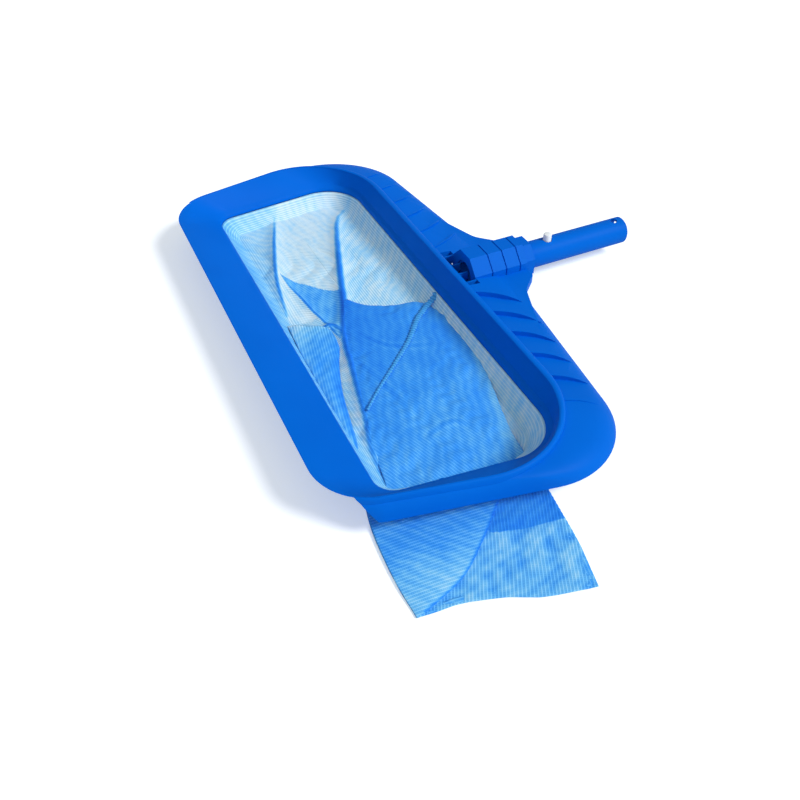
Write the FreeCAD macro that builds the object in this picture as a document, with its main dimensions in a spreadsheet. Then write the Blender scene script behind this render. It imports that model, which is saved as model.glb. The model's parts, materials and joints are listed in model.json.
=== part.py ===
"""Leaf skimmer net: a pool leaf rake with a scoop frame, a mesh bag and a snap-in pole handle.

The origin is on the handle's axis, at the shoulder where a pole butts against the handle.
+Y runs out along the pole, +Z is up, and +X is the end of the frame where the bag comes out.
All sizes are millimetres and are named in the sheet "Sizes".
"""
import FreeCAD, Part, Sketcher
import math
import os

from FreeCAD import Placement, Rotation, Vector

SIZES = {
    # Where the frame lies: its front lip, its ridge and its heights, from the pole shoulder's axis
    "lip_reach": 309.0,
    "ridge_reach": 89.0,
    "crest_rise": 13.6,
    "scoop_depth": 19.0,
    "skirt_drop": 20.5,
    "ground_drop": 26.4,
    # Mouth, the lower edge of the scoop where the net starts, and how much wider it is at the back
    "mouth_front_half": 219.0,
    "mouth_flare": 18.0,
    "mouth_front_setback": 47.0,
    "mouth_back_setback": 14.0,
    "mouth_front_radius": 18.0,
    "mouth_back_radius": 42.0,
    "mouth_round": 5.0,
    # Crest line, the top edge of the scoop, and how far it stands out past the mouth
    "crest_front_overhang": 11.0,
    "crest_back_overhang": 39.0,
    "crest_front_radius": 50.0,
    "crest_back_radius": 82.0,
    # Outer edge of the skirt and of the deck behind the ridge, and how far it stands out past the crest
    "skirt_front_overhang": 8.0,
    "skirt_front_setback": 1.0,
    "skirt_back_overhang": 12.0,
    "skirt_corner_depth": 32.0,
    "skirt_front_radius": 50.0,
    "skirt_back_radius": 74.0,
    "deck_middle_half": 30.0,
    "deck_middle_depth": 61.6,
    "cheek_foot_setback": 34.0,
    "cheek_top_setback": 21.0,
    # Walls
    "wall": 2.5,
    "lip_edge": 1.2,
    "crest_step": 3.5,
    # Rounded bead along the ridge, which narrows to the lip's edge at the front
    "bead_outside": 5.0,
    "bead_inside": 4.0,
    "bead_front": 1.2,
    "bead_height": 0.6,
    "bead_root": 6.0,
    # Curved ribs on the deck
    "rib_count": 6.0,
    "rib_first": 40.0,
    "rib_pitch": 33.0,
    "rib_radius": 100.0,
    "rib_width": 2.0,
    "rib_height": 1.0,
    "rib_lean": 15.0,
    "rib_edge_gap": 2.0,
    "rib_turn_start": 120.0,
    "rib_turn": 52.0,
    # Recesses between the ribs, which slope from one rib up to the next and down towards the deck's edge
    "bay_depth": 3.8,
    "bay_slope": 8.0,
    "bay_floor_wall": 2.2,
    # Pocket between the ridge and the socket, with its fins
    "pocket_half": 31.0,
    "pocket_floor": 4.0,
    "fin_count": 4.0,
    "fin_pitch": 16.0,
    "fin_width": 1.8,
    "fin_drop": 6.0,
    "fin_depth": 9.0,
    # Socket that holds the handle
    "socket_flats": 46.0,
    "socket_front": 71.0,
    "socket_back": 11.0,
    "socket_groove_count": 3.0,
    "socket_groove_first": 19.0,
    "socket_groove_pitch": 16.0,
    "socket_groove_width": 1.4,
    "socket_groove_depth": 1.0,
    "neck_half": 34.0,
    "neck_foot_half": 52.0,
    "neck_blend_half": 110.0,
    "neck_blend_inset": 14.0,
    "neck_radius": 24.0,
    "neck_thick": 9.0,
    # Underside ribs that stiffen the hollow deck
    "web_count": 5.0,
    "web_pitch": 48.0,
    "web_width": 2.0,
    "web_lift": 4.0,
    # Flange under the mouth, the net's hem and the clamp strips under it
    "flange_width": 9.0,
    "flange_thick": 2.5,
    "flange_drop": 2.0,
    "hem_thick": 1.4,
    "soft_gap": 0.3,
    "clamp_thick": 3.2,
    "clamp_setback": 0.8,
    "clamp_joint_gap": 1.0,
    "clamp_front_reach": 30.0,
    "clamp_back_reach": 48.0,
    # Clamp screws
    "screw_shank": 3.0,
    "screw_head": 6.5,
    "screw_head_thick": 2.2,
    "screw_length": 8.0,
    "screw_clearance": 0.05,
    "screw_boss": 7.0,
    "screw_boss_cover": 1.2,
    "screw_line": 5.0,
    "screw_slack": 0.2,
    "screw_row_count": 5.0,
    "screw_row_inset": 29.0,
    "screw_side_inset": 17.5,
    "screw_slot_width": 1.2,
    "screw_slot_depth": 0.9,
    "screw_slot_length": 4.2,
    # Handle tube
    "tube_diameter": 28.0,
    "tube_wall": 2.5,
    "tube_reach": 121.0,
    "tube_fit": 0.1,
    "tube_stop": 2.0,
    "tube_edge": 1.2,
    "shoulder_flats": 40.0,
    "shoulder_thick": 10.0,
    "shoulder_neck_flats": 34.0,
    "end_hole_diameter": 8.0,
    "end_hole_reach": 109.0,
    # Handle screws from below
    "handle_screw_shank": 4.0,
    "handle_screw_head": 7.6,
    "handle_screw_head_thick": 2.6,
    "handle_screw_pitch": 30.0,
    "handle_screw_first": 16.0,
    "handle_screw_recess": 3.2,
    "handle_screw_length": 8.0,
    # Spring clip with its button
    "clip_button_reach": 26.0,
    "clip_button_diameter": 8.6,
    "clip_button_rise": 6.5,
    "clip_button_round": 1.4,
    "clip_hole_gap": 0.8,
    "clip_width": 8.0,
    "clip_thick": 1.6,
    "clip_bend_reach": 98.0,
    "clip_bend_radius": 10.4,
    "clip_tip": 5.0,
    # How far cutting tools run past what they cut, and how far joined pieces reach into each other
    "overcut": 1.0,
    "overlap": 0.5,
    # Net bag: a shallow tray under the mouth and a flat end that lies out past the frame
    "bag_wall": 1.0,
    "bag_inset": 14.0,
    "bag_end_thick": 4.0,
    "bag_root_inset": 29.0,
    "bag_root_front": 8.0,
    "bag_root_back": 16.0,
    "bag_edge_overhang": 15.0,
    "bag_edge_front": 27.0,
    "bag_edge_back": 178.0,
    "bag_front_reach": 320.0,
    "bag_back_reach": 352.0,
    "bag_front_corner": 28.0,
    "bag_back_corner": 158.0,
    # Sewn trims of the bag, and the seam inside it from the mouth's back edge towards its near end
    "trim_width": 7.0,
    "trim_thick": 1.2,
    "seam_width": 5.0,
    "seam_thick": 1.4,
    "seam_start": 10.0,
    "seam_start_setback": 23.0,
    "seam_bend": 49.0,
    "seam_bend_setback": 52.0,
    "seam_end": 125.0,
    "seam_end_setback": 28.0,
}

RULES = {
    # Half widths of the scoop, each wider than the one inside it
    "mouth_back_half": "mouth_front_half + mouth_flare",
    "crest_front_half": "mouth_front_half + crest_front_overhang",
    "crest_back_half": "mouth_back_half + crest_back_overhang",
    "skirt_front_half": "crest_front_half + skirt_front_overhang",
    "skirt_back_half": "crest_back_half + skirt_back_overhang",
    # Where the bag's flat end starts under the mouth and where it comes out past it
    "bag_root": "mouth_front_half - bag_root_inset",
    "bag_edge_half": "mouth_back_half + bag_edge_overhang",
    # Clamp screws in the front and back rows, spread evenly between the mouth's corners
    "screw_row_pitch": "(mouth_front_half - screw_row_inset) * 2 / (screw_row_count - 1)",
}

BEAD_PROFILE = (
    # How far from the crest line each level of the bead lies, as a share of its width, and its height
    (1.0, "-Sizes.bead_root"),
    (0.9, "-Sizes.bead_height * 2"),
    (0.6, "0"),
    (0.25, "Sizes.bead_height"),
)
MOUTH_ROLL = (
    # Levels of the mouth's rounded edge: out from the mouth and up, as shares of its radius
    (0.0, -1.2),
    (0.1, -0.5),
    (0.4, -0.1),
    (1.0, 0.28),
)

DECK_SECTIONS = (
    # How far out from the crest line each level lies, as a share, and its drop as a share of the skirt's
    (0.0, 0.0),
    (0.45, 0.18),
    (0.80, 0.50),
    (1.0, 1.0),
)
OCTAGON_TURN = 22.5
# Screw shape: the head's flat crown as a share of its width, its straight rim as a share of its height,
# and the shank's point as a share of its width
CROWN_SHARE = 0.36
RIM_SHARE = 0.45
POINT_SHARE = 0.6

doc = FreeCAD.newDocument("LeafSkimmerNet")
sheet = doc.addObject("Spreadsheet::Sheet", "Sizes")
rules = {alias: "=" + rule for alias, rule in RULES.items()}
for row, (alias, value) in enumerate({**SIZES, **rules}.items(), start=1):
    sheet.set("A%d" % row, alias)
    sheet.set("B%d" % row, str(value))
    sheet.setAlias("B%d" % row, alias)
doc.recompute()


def size(expression):
    """Present value of an expression on the sizes."""
    return float(sheet.evalExpression(expression.replace("Sizes.", "")))


def bind(thing, **rules):
    """Bind properties, written with double underscores for dots, to expressions."""
    for name, rule in rules.items():
        thing.setExpression(name.replace("__", "."), rule)
    return thing


def rounded_path(corners):
    """Start and end points of each straight run of an outline, with the arc that follows it."""
    count = len(corners)
    trims = []
    for i, (point, radius) in enumerate(corners):
        back = (corners[i - 1][0] - point).normalize()
        ahead = (corners[(i + 1) % count][0] - point).normalize()
        half = back.getAngle(ahead) / 2
        trim = radius / math.tan(half) if radius else 0.0
        centre = point
        if radius:
            centre = point + (back + ahead).normalize() * (radius / math.sin(half))
        trims.append((point + back * trim, point + ahead * trim, centre))
    return trims


def arc_between(start, end, centre, radius):
    """Short circular arc from start to end about centre, and whether it runs anticlockwise."""
    middle = centre + ((start + end) * 0.5 - centre).normalize() * radius
    arc = Part.Arc(start, middle, end)
    turns_left = (start - centre).cross(end - centre).z > 0
    return arc, turns_left


def outline(name, height, right_half):
    """Sketch of an outline mirrored about the YZ plane, at a height.

    right_half lists its corners at +X from front to back, each an X, a Y and a radius
    expression, where a radius of None leaves the corner sharp.
    """
    sketch = doc.addObject("Sketcher::SketchObject", name)
    bind(sketch, Placement__Base__z=height)
    corners = []
    for x_rule, y_rule, radius_rule in right_half:
        radius = size(radius_rule) if radius_rule else 0.0
        corners.append((Vector(size(x_rule), size(y_rule), 0), radius))
    mirrored = [(Vector(-p.x, p.y, 0), r) for p, r in reversed(corners)]
    count = len(corners)
    corners += mirrored
    total = len(corners)
    points = [sketch.addGeometry(Part.Point(p), True) for p, _ in corners]
    for i in range(count):
        x_rule, y_rule, _ = right_half[i]
        across = sketch.addConstraint(Sketcher.Constraint("DistanceX", -1, 1, points[i], 1, corners[i][0].x))
        sketch.setExpression("Constraints[%d]" % across, x_rule)
        along = sketch.addConstraint(Sketcher.Constraint("DistanceY", -1, 1, points[i], 1, corners[i][0].y))
        sketch.setExpression("Constraints[%d]" % along, y_rule)
        sketch.addConstraint(Sketcher.Constraint("Symmetric", points[i], 1, points[total - 1 - i], 1, -2))
    trims = rounded_path(corners)
    runs = []
    for i in range(total):
        following = (i + 1) % total
        run = sketch.addGeometry(Part.LineSegment(trims[i][1], trims[following][0]))
        runs.append(run)
        for corner, end in ((i, 1), (following, 2)):
            if corners[corner][1]:
                sketch.addConstraint(Sketcher.Constraint("PointOnObject", points[corner], 1, run))
            else:
                sketch.addConstraint(Sketcher.Constraint("Coincident", run, end, points[corner], 1))
    for i in range(total):
        radius = corners[i][1]
        if not radius:
            continue
        arc, turns_left = arc_between(trims[i][0], trims[i][1], trims[i][2], radius)
        curve = sketch.addGeometry(arc)
        first, last = (1, 2) if turns_left else (2, 1)
        sketch.addConstraint(Sketcher.Constraint("Tangent", runs[i - 1], 2, curve, first))
        sketch.addConstraint(Sketcher.Constraint("Tangent", runs[i], 1, curve, last))
        bend = sketch.addConstraint(Sketcher.Constraint("Radius", curve, radius))
        half_index = i if i < count else total - 1 - i
        sketch.setExpression("Constraints[%d]" % bend, right_half[half_index][2])
    return sketch


def grown(front, back, middle, grow):
    """Corner rules of a four or six cornered outline, grown outwards by an expression."""
    rules = []
    for x_rule, y_rule, radius_rule in front:
        rules.append((f"{x_rule} + {grow}", f"{y_rule} - ({grow})", f"{radius_rule} + {grow}"))
    for x_rule, y_rule, radius_rule in back:
        rules.append((f"{x_rule} + {grow}", f"{y_rule} + {grow}", f"{radius_rule} + {grow}"))
    for x_rule, y_rule, radius_rule in middle:
        rules.append((x_rule, f"{y_rule} + {grow}", radius_rule))
    return rules


CREST_FRONT = [("Sizes.crest_front_half", "-Sizes.lip_reach", "Sizes.crest_front_radius")]
CREST_BACK = [("Sizes.crest_back_half", "-Sizes.ridge_reach", "Sizes.crest_back_radius")]
MOUTH_FRONT = [("Sizes.mouth_front_half", "-Sizes.lip_reach + Sizes.mouth_front_setback",
                "Sizes.mouth_front_radius")]
MOUTH_BACK = [("Sizes.mouth_back_half", "-Sizes.ridge_reach - Sizes.mouth_back_setback",
               "Sizes.mouth_back_radius")]


def crest_corners(grow="0"):
    """Corners of the crest line, grown outwards."""
    return grown(CREST_FRONT, CREST_BACK, [], grow)


def mouth_corners(grow="0"):
    """Corners of the mouth, grown outwards."""
    return grown(MOUTH_FRONT, MOUTH_BACK, [], grow)


def between(start, end, share):
    """Expression of the value a share of the way from start to end."""
    return f"({start}) * {1 - share:.2f} + ({end}) * {share:.2f}"


def deck_corners(share, grow):
    """Corners of one level of the skirt and deck, a share of the way from crest to skirt edge."""
    front = (between("Sizes.crest_front_half", "Sizes.skirt_front_half", share),
             between("-Sizes.lip_reach", "-Sizes.lip_reach + Sizes.skirt_front_setback", share),
             between("Sizes.crest_front_radius", "Sizes.skirt_front_radius", share))
    back = (between("Sizes.crest_back_half", "Sizes.skirt_back_half", share),
            between("-Sizes.ridge_reach", "-Sizes.ridge_reach + Sizes.skirt_corner_depth", share),
            between("Sizes.crest_back_radius", "Sizes.skirt_back_radius", share))
    middle = ("Sizes.deck_middle_half",
              between("-Sizes.ridge_reach", "-Sizes.ridge_reach + Sizes.deck_middle_depth", share), None)
    return grown([front], [back], [middle], grow)


def loft(name, sections, ruled=True):
    """Solid through closed outlines, lowest first."""
    solid = doc.addObject("Part::Loft", name)
    solid.Sections = sections
    solid.Solid = True
    solid.Ruled = ruled
    return solid


def slab(name, base, thick):
    """Straight extrusion of an outline upwards."""
    solid = doc.addObject("Part::Extrusion", name)
    solid.Base = base
    solid.DirMode = "Custom"
    solid.Dir = Vector(0, 0, 1)
    solid.Solid = True
    return bind(solid, LengthFwd=thick)


def box(name, length, width, height, x_rule, y_rule, z_rule):
    """Box with its low corner at x, y, z."""
    solid = doc.addObject("Part::Box", name)
    return bind(solid, Length=length, Width=width, Height=height,
                Placement__Base__x=x_rule, Placement__Base__y=y_rule, Placement__Base__z=z_rule)


def cylinder(name, radius, height, x_rule="0", y_rule="0", z_rule="0", along="Z"):
    """Cylinder from a point along +Y or +Z."""
    solid = doc.addObject("Part::Cylinder", name)
    if along == "Y":
        solid.Placement = Placement(Vector(0, 0, 0), Rotation(Vector(1, 0, 0), -90))
    return bind(solid, Radius=radius, Height=height,
                Placement__Base__x=x_rule, Placement__Base__y=y_rule, Placement__Base__z=z_rule)


def octagon(name, flats, height, y_rule):
    """Eight-sided bar along +Y with flats on top and at its sides."""
    solid = doc.addObject("Part::Prism", name)
    solid.Polygon = 8
    solid.Placement = Placement(Vector(0, 0, 0),
                                Rotation(Vector(1, 0, 0), -90) * Rotation(Vector(0, 0, 1), OCTAGON_TURN))
    return bind(solid, Circumradius=f"({flats}) / 2 / cos({OCTAGON_TURN})", Height=height,
                Placement__Base__y=y_rule)


def fuse(name, *shapes):
    """Union of solids."""
    result = doc.addObject("Part::MultiFuse", name)
    result.Shapes = list(shapes)
    return result


def cut(name, base, *tools):
    """Base without the tools."""
    tool = tools[0] if len(tools) == 1 else fuse(name + "_tools", *tools)
    result = doc.addObject("Part::Cut", name)
    result.Base = base
    result.Tool = tool
    return result


def common(name, first, second):
    """What two solids share."""
    result = doc.addObject("Part::Common", name)
    result.Base = first
    result.Tool = second
    return result


def mirrored(name, source):
    """Copy of a solid on the other side of the YZ plane."""
    result = doc.addObject("Part::Mirroring", name)
    result.Source = source
    result.Normal = Vector(1, 0, 0)
    return result


CREST_Z = "Sizes.crest_rise"
MOUTH_Z = "Sizes.crest_rise - Sizes.scoop_depth"
SKIRT_Z = "Sizes.crest_rise - Sizes.skirt_drop"
DECK_TOP_Z = "Sizes.crest_rise - Sizes.crest_step"
FLOOR_Z = "-Sizes.ground_drop"
FLANGE_Z = "Sizes.crest_rise - Sizes.scoop_depth - Sizes.flange_drop - Sizes.flange_thick"
HEM_Z = FLANGE_Z + " - Sizes.soft_gap - Sizes.hem_thick"
CLAMP_TOP_Z = HEM_Z + " - Sizes.soft_gap"
CLAMP_Z = CLAMP_TOP_Z + " - Sizes.clamp_thick"
LIP_Y = "-Sizes.lip_reach"
RIDGE_Y = "-Sizes.ridge_reach"
MOUTH_FRONT_Y = "-Sizes.lip_reach + Sizes.mouth_front_setback"
MOUTH_BACK_Y = "-Sizes.ridge_reach - Sizes.mouth_back_setback"


def deck_loft(name, grow, lift, foot="0"):
    """Rounded outer form of the skirt and deck, grown and lifted by expressions."""
    levels = []
    for number, (share, drop) in enumerate(DECK_SECTIONS):
        height = f"{DECK_TOP_Z} - (Sizes.skirt_drop - Sizes.crest_step) * {drop:.2f} + {lift}"
        if drop == 1.0:
            height += f" - ({foot})"
        levels.append(outline(f"{name}_level_{number}", height, deck_corners(share, grow)))
    return loft(name, list(reversed(levels)), ruled=False)


def bead_loft(name, side, sign):
    """One flank of the ridge's rounded bead, outside or inside the crest line."""
    levels = []
    for number, (share, rise) in enumerate(BEAD_PROFILE):
        corners = grown(CREST_FRONT, [], [], f"({sign}Sizes.bead_front * {share})")
        corners += grown([], CREST_BACK, [], f"({sign}Sizes.{side} * {share})")
        levels.append(outline(f"{name}_level_{number}", f"{CREST_Z} + {rise}", corners))
    return loft(name, levels)


def cheek_cut():
    """Wedge in front of the slanted front edge of the cheeks, which leaves the lip free.

    Turned upright, the wedge's own Y runs up and its own Z runs forwards.
    """
    lean = "(Sizes.cheek_foot_setback - Sizes.cheek_top_setback) / Sizes.skirt_drop"
    half = "Sizes.skirt_back_half + Sizes.overcut"
    front = "Sizes.lip_reach + Sizes.cheek_foot_setback"
    wedge = doc.addObject("Part::Wedge", "cheek_wedge")
    wedge.Placement = Placement(Vector(0, 0, 0), Rotation(Vector(1, 0, 0), 90))
    return bind(wedge, Xmin=f"-({half})", Xmax=half, X2min=f"-({half})", X2max=half,
                Ymin=f"{SKIRT_Z} - Sizes.overcut", Ymax=f"{CREST_Z} + Sizes.crest_step",
                Zmin=f"Sizes.lip_reach - Sizes.cheek_foot_setback - {lean} * Sizes.overcut", Zmax=front,
                Z2min=f"Sizes.lip_reach - Sizes.cheek_top_setback + {lean} * Sizes.crest_step", Z2max=front)


def rib_centre(number):
    """X and Y of the centre that a rib bends about."""
    return (f"Sizes.rib_first + Sizes.rib_pitch * {number} + Sizes.rib_radius * cos(Sizes.rib_lean)",
            f"{RIDGE_Y} - Sizes.rib_radius * sin(Sizes.rib_lean)")


def deck_ribs():
    """Curved ribs on one half of the deck, standing a little above its surface."""
    walls = []
    tall = "Sizes.skirt_drop + Sizes.overcut"
    for number in range(int(size("Sizes.rib_count"))):
        x_rule, y_rule = rib_centre(number)
        sectors = []
        for side, radius in (("outer", "Sizes.rib_radius"), ("inner", "Sizes.rib_radius - Sizes.rib_width")):
            sector = cylinder(f"rib_{number}_{side}", radius, tall, x_rule, y_rule, SKIRT_Z)
            bind(sector, Placement__Rotation__Angle="Sizes.rib_turn_start", Angle="Sizes.rib_turn")
            sectors.append(sector)
        walls.append(cut(f"rib_{number}_wall", *sectors))
    rows = fuse("rib_rows", *walls)
    ceiling = deck_loft("rib_ceiling", "-Sizes.rib_edge_gap", "Sizes.rib_height")
    inner_line = outline("rib_inside_line", SKIRT_Z, crest_corners("(Sizes.bead_outside / 2)"))
    inside = slab("rib_inside", inner_line, tall)
    return cut("ribs_right", common("ribs_on_deck", ceiling, rows), inside)


def bay_floor(number):
    """Wide cone about a leaning axis whose flank is the sloping floor of one recess."""
    x_rule, y_rule = rib_centre(number)
    level = (f"({DECK_TOP_Z} - Sizes.bay_depth"
             " + Sizes.rib_radius * sin(Sizes.rib_lean) * tan(Sizes.bay_slope))")
    rise = "Sizes.rib_pitch / Sizes.bay_depth"
    edge = "(Sizes.rib_radius - Sizes.rib_width)"
    floor = doc.addObject("Part::Cone", f"bay_{number}_floor")
    floor.Placement = Placement(Vector(0, 0, 0), Rotation(Vector(-1, 0, 0), size("Sizes.bay_slope")))
    return bind(floor, Radius1=f"{edge} + Sizes.skirt_drop * {rise}", Radius2=f"{edge} - 2 * Sizes.rib_pitch",
                Height="Sizes.skirt_drop + 2 * Sizes.bay_depth", Placement__Rotation__Angle="Sizes.bay_slope",
                Placement__Base__x=x_rule,
                Placement__Base__y=f"{y_rule} - Sizes.skirt_drop * sin(Sizes.bay_slope)",
                Placement__Base__z=f"{level} - Sizes.skirt_drop * cos(Sizes.bay_slope)")


def deck_bays():
    """Recesses between the ribs of one half, each deepest beside its rib and level with the next."""
    tall = "Sizes.skirt_drop + Sizes.overcut"
    spaces = []
    for number in range(int(size("Sizes.rib_count")) - 1):
        column = cylinder(f"bay_{number}_column", "Sizes.rib_radius - Sizes.rib_width", tall,
                          *rib_centre(number), SKIRT_Z)
        beyond = cylinder(f"bay_{number}_beyond", "Sizes.rib_radius", tall, *rib_centre(number + 1), SKIRT_Z)
        spaces.append(cut(f"bay_{number}", column, beyond, bay_floor(number)))
    inner_line = outline("bay_inside_line", SKIRT_Z, crest_corners("Sizes.bead_outside"))
    inside = slab("bay_inside", inner_line, tall)
    front = box("bay_front", "2 * Sizes.skirt_back_half", "Sizes.lip_reach", tall, "0",
                f"{rib_centre(0)[1]} - Sizes.lip_reach", SKIRT_Z)
    return cut("bays_right", fuse("bay_spaces", *spaces), inside, front)


def underside_webs():
    """Cross webs inside the hollow deck, square to the ridge."""
    webs = []
    tall = "Sizes.skirt_drop - Sizes.web_lift"
    for number in range(int(size("Sizes.web_count"))):
        x_rule = f"Sizes.web_pitch * {number + 1} - Sizes.web_width / 2"
        webs.append(box(f"web_{number}", "Sizes.web_width", "Sizes.ridge_reach", tall,
                        x_rule, RIDGE_Y + " - Sizes.mouth_back_setback / 2", f"{SKIRT_Z} + Sizes.web_lift"))
    right = fuse("webs_right", *webs)
    both = fuse("webs_both", right, mirrored("webs_left", right))
    return common("webs_in_deck", both, deck_loft("web_ceiling", "-Sizes.wall / 2", "-Sizes.wall / 2"))


def socket():
    """Eight-sided socket with its ring grooves, and the neck that joins it to the deck."""
    length = "Sizes.socket_front - Sizes.socket_back"
    block = octagon("socket_block", "Sizes.socket_flats", length, "-Sizes.socket_front")
    rings = []
    width = "Sizes.socket_groove_width"
    for number in range(int(size("Sizes.socket_groove_count"))):
        y_rule = f"-Sizes.socket_front + Sizes.socket_groove_first + Sizes.socket_groove_pitch * {number}"
        outer = octagon(f"groove_{number}_outer", "Sizes.socket_flats + 2 * Sizes.overcut", width, y_rule)
        inner = octagon(f"groove_{number}_inner", "Sizes.socket_flats - 2 * Sizes.socket_groove_depth",
                        width, y_rule)
        rings.append(cut(f"groove_{number}", outer, inner))
    return cut("socket_grooved", block, *rings)


def neck():
    """Flat neck of the deck that widens the foot of the socket."""
    edge_slope = ("(Sizes.deck_middle_depth - Sizes.skirt_corner_depth)"
                  " / (Sizes.skirt_back_half - Sizes.deck_middle_half)")
    on_edge = f"{RIDGE_Y} + Sizes.deck_middle_depth - {edge_slope} * (%s - Sizes.deck_middle_half)"
    corners = [
        ("Sizes.neck_blend_half", RIDGE_Y + " + Sizes.deck_middle_depth / 2", None),
        ("Sizes.neck_blend_half", on_edge % "Sizes.neck_blend_half" + " - Sizes.neck_blend_inset", None),
        ("Sizes.neck_foot_half", on_edge % "Sizes.neck_foot_half", "Sizes.neck_radius"),
        ("Sizes.neck_half", "-Sizes.socket_back", None),
    ]
    base = outline("neck_line", SKIRT_Z, corners)
    return slab("neck_plate", base, "Sizes.neck_thick")


def frame():
    """Scoop frame: funnel, ridge bead, hollow skirt and ribbed deck, and the socket."""
    skin = deck_loft("deck_skin", "0", "0")
    hollow = deck_loft("deck_hollow", "-Sizes.wall", "-Sizes.bay_floor_wall - Sizes.bay_depth",
                       foot="Sizes.wall")
    bead = cut("bead_ring", bead_loft("bead_outer", "bead_outside", ""),
               bead_loft("bead_inner", "bead_inside", "-"))
    shell = cut("skirt_shell", skin, hollow)
    behind = cut("skirt_and_bead", fuse("skirt_with_bead", shell, bead), cheek_cut())
    bottom = outline("funnel_foot", f"{MOUTH_Z} - Sizes.wall",
                     mouth_corners("(Sizes.wall + Sizes.mouth_round)"))
    top = outline("funnel_top", CREST_Z, crest_corners())
    funnel = loft("funnel_outer", [bottom, top])
    flange = slab("flange", outline("flange_line", FLANGE_Z, mouth_corners("Sizes.flange_width")),
                  "Sizes.flange_thick")
    levels = []
    for number, (share, rise) in enumerate(MOUTH_ROLL):
        levels.append(outline(f"scoop_level_{number}", f"{MOUTH_Z} + Sizes.mouth_round * {rise}",
                              mouth_corners(f"(Sizes.mouth_round * {share})")))
    levels.append(outline("scoop_top", CREST_Z, crest_corners("(-Sizes.lip_edge)")))
    scoop = loft("scoop_space", levels)
    body = cut("frame_body", fuse("frame_uncut", behind, funnel, flange, underside_webs()), scoop)
    bays, ribs = deck_bays(), deck_ribs()
    recessed = cut("frame_recessed", body, bays, mirrored("bays_left", bays))
    deep = "Sizes.ridge_reach - Sizes.bead_outside - Sizes.socket_front + Sizes.wall"
    pan = box("pocket_pan", "2 * (Sizes.pocket_half + Sizes.wall)", deep,
              "Sizes.skirt_drop - Sizes.crest_step - Sizes.wall", "-Sizes.pocket_half - Sizes.wall",
              RIDGE_Y + " + Sizes.bead_outside - Sizes.wall", SKIRT_Z)
    raised = fuse("frame_ribbed", recessed, ribs, mirrored("ribs_left", ribs), neck(), pan)
    behind_bead = "Sizes.ridge_reach - Sizes.bead_outside - Sizes.socket_front"
    pocket = box("pocket_space", "2 * Sizes.pocket_half", behind_bead + " + Sizes.overcut",
                 "Sizes.crest_rise + Sizes.pocket_floor + Sizes.skirt_drop", "-Sizes.pocket_half",
                 RIDGE_Y + " + Sizes.bead_outside", "-Sizes.pocket_floor")
    fins = []
    for number in range(int(size("Sizes.fin_count"))):
        x_rule = f"Sizes.fin_pitch * ({number} - (Sizes.fin_count - 1) / 2) - Sizes.fin_width / 2"
        fins.append(box(f"fin_{number}", "Sizes.fin_width", behind_bead + " + 2 * Sizes.overcut",
                        "Sizes.fin_depth", x_rule, RIDGE_Y + " + Sizes.bead_outside - Sizes.overcut",
                        f"{CREST_Z} - Sizes.fin_drop - Sizes.fin_depth"))
    clear = octagon("socket_clear", "Sizes.socket_flats - Sizes.overlap",
                    "Sizes.socket_front - Sizes.socket_back", "-Sizes.socket_front")
    pocketed = cut("frame_pocketed", raised, pocket, clear)
    whole = fuse("frame_whole", pocketed, socket(), *fins)
    bore = cylinder("socket_bore", "Sizes.tube_diameter / 2 + Sizes.tube_fit", "Sizes.socket_front",
                    y_rule="-Sizes.socket_front - Sizes.overlap", along="Y")
    return whole, bore


def screw_places():
    """Centre of each clamp screw, in plan, as X and Y expressions."""
    places = []
    for y_rule in (f"{MOUTH_FRONT_Y} - Sizes.screw_line", f"{MOUTH_BACK_Y} + Sizes.screw_line"):
        for number in range(int(size("Sizes.screw_row_count"))):
            places.append((f"Sizes.screw_row_pitch * ({number} - (Sizes.screw_row_count - 1) / 2)", y_rule))
    depth = f"(({MOUTH_BACK_Y}) - ({MOUTH_FRONT_Y}))"
    side_rows = (f"{MOUTH_FRONT_Y} + Sizes.clamp_front_reach + Sizes.screw_side_inset",
                 f"{MOUTH_BACK_Y} - Sizes.clamp_back_reach - Sizes.screw_side_inset")
    for sign in ("-", ""):
        for y_rule in side_rows:
            share = f"(({y_rule}) - ({MOUTH_FRONT_Y})) / {depth}"
            x_rule = f"{sign}(Sizes.mouth_front_half + Sizes.mouth_flare * {share} + Sizes.screw_line)"
            places.append((x_rule, y_rule))
    return places


def studs(name, radius, height, z_rule):
    """Upright cylinders at every clamp screw, as one compound solid."""
    rods = []
    for number, (x_rule, y_rule) in enumerate(screw_places()):
        rods.append(cylinder(f"{name}_{number}", radius, height, x_rule, y_rule, z_rule))
    return fuse(name, *rods)


def handle_screw_places():
    """Y of each screw that holds the handle in the socket."""
    first = "-Sizes.socket_front + Sizes.handle_screw_first"
    return (first, f"{first} + Sizes.handle_screw_pitch")


def handle_studs(name, radius, height, z_rule):
    """Upright cylinders at the handle screws."""
    rods = []
    for number, y_rule in enumerate(handle_screw_places()):
        rods.append(cylinder(f"{name}_{number}", radius, height, "0", y_rule, z_rule))
    return fuse(name, *rods)


SOCKET_FOOT_Z = "-Sizes.socket_flats / 2"
HANDLE_HEAD_Z = SOCKET_FOOT_Z + " + Sizes.handle_screw_recess"


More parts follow.
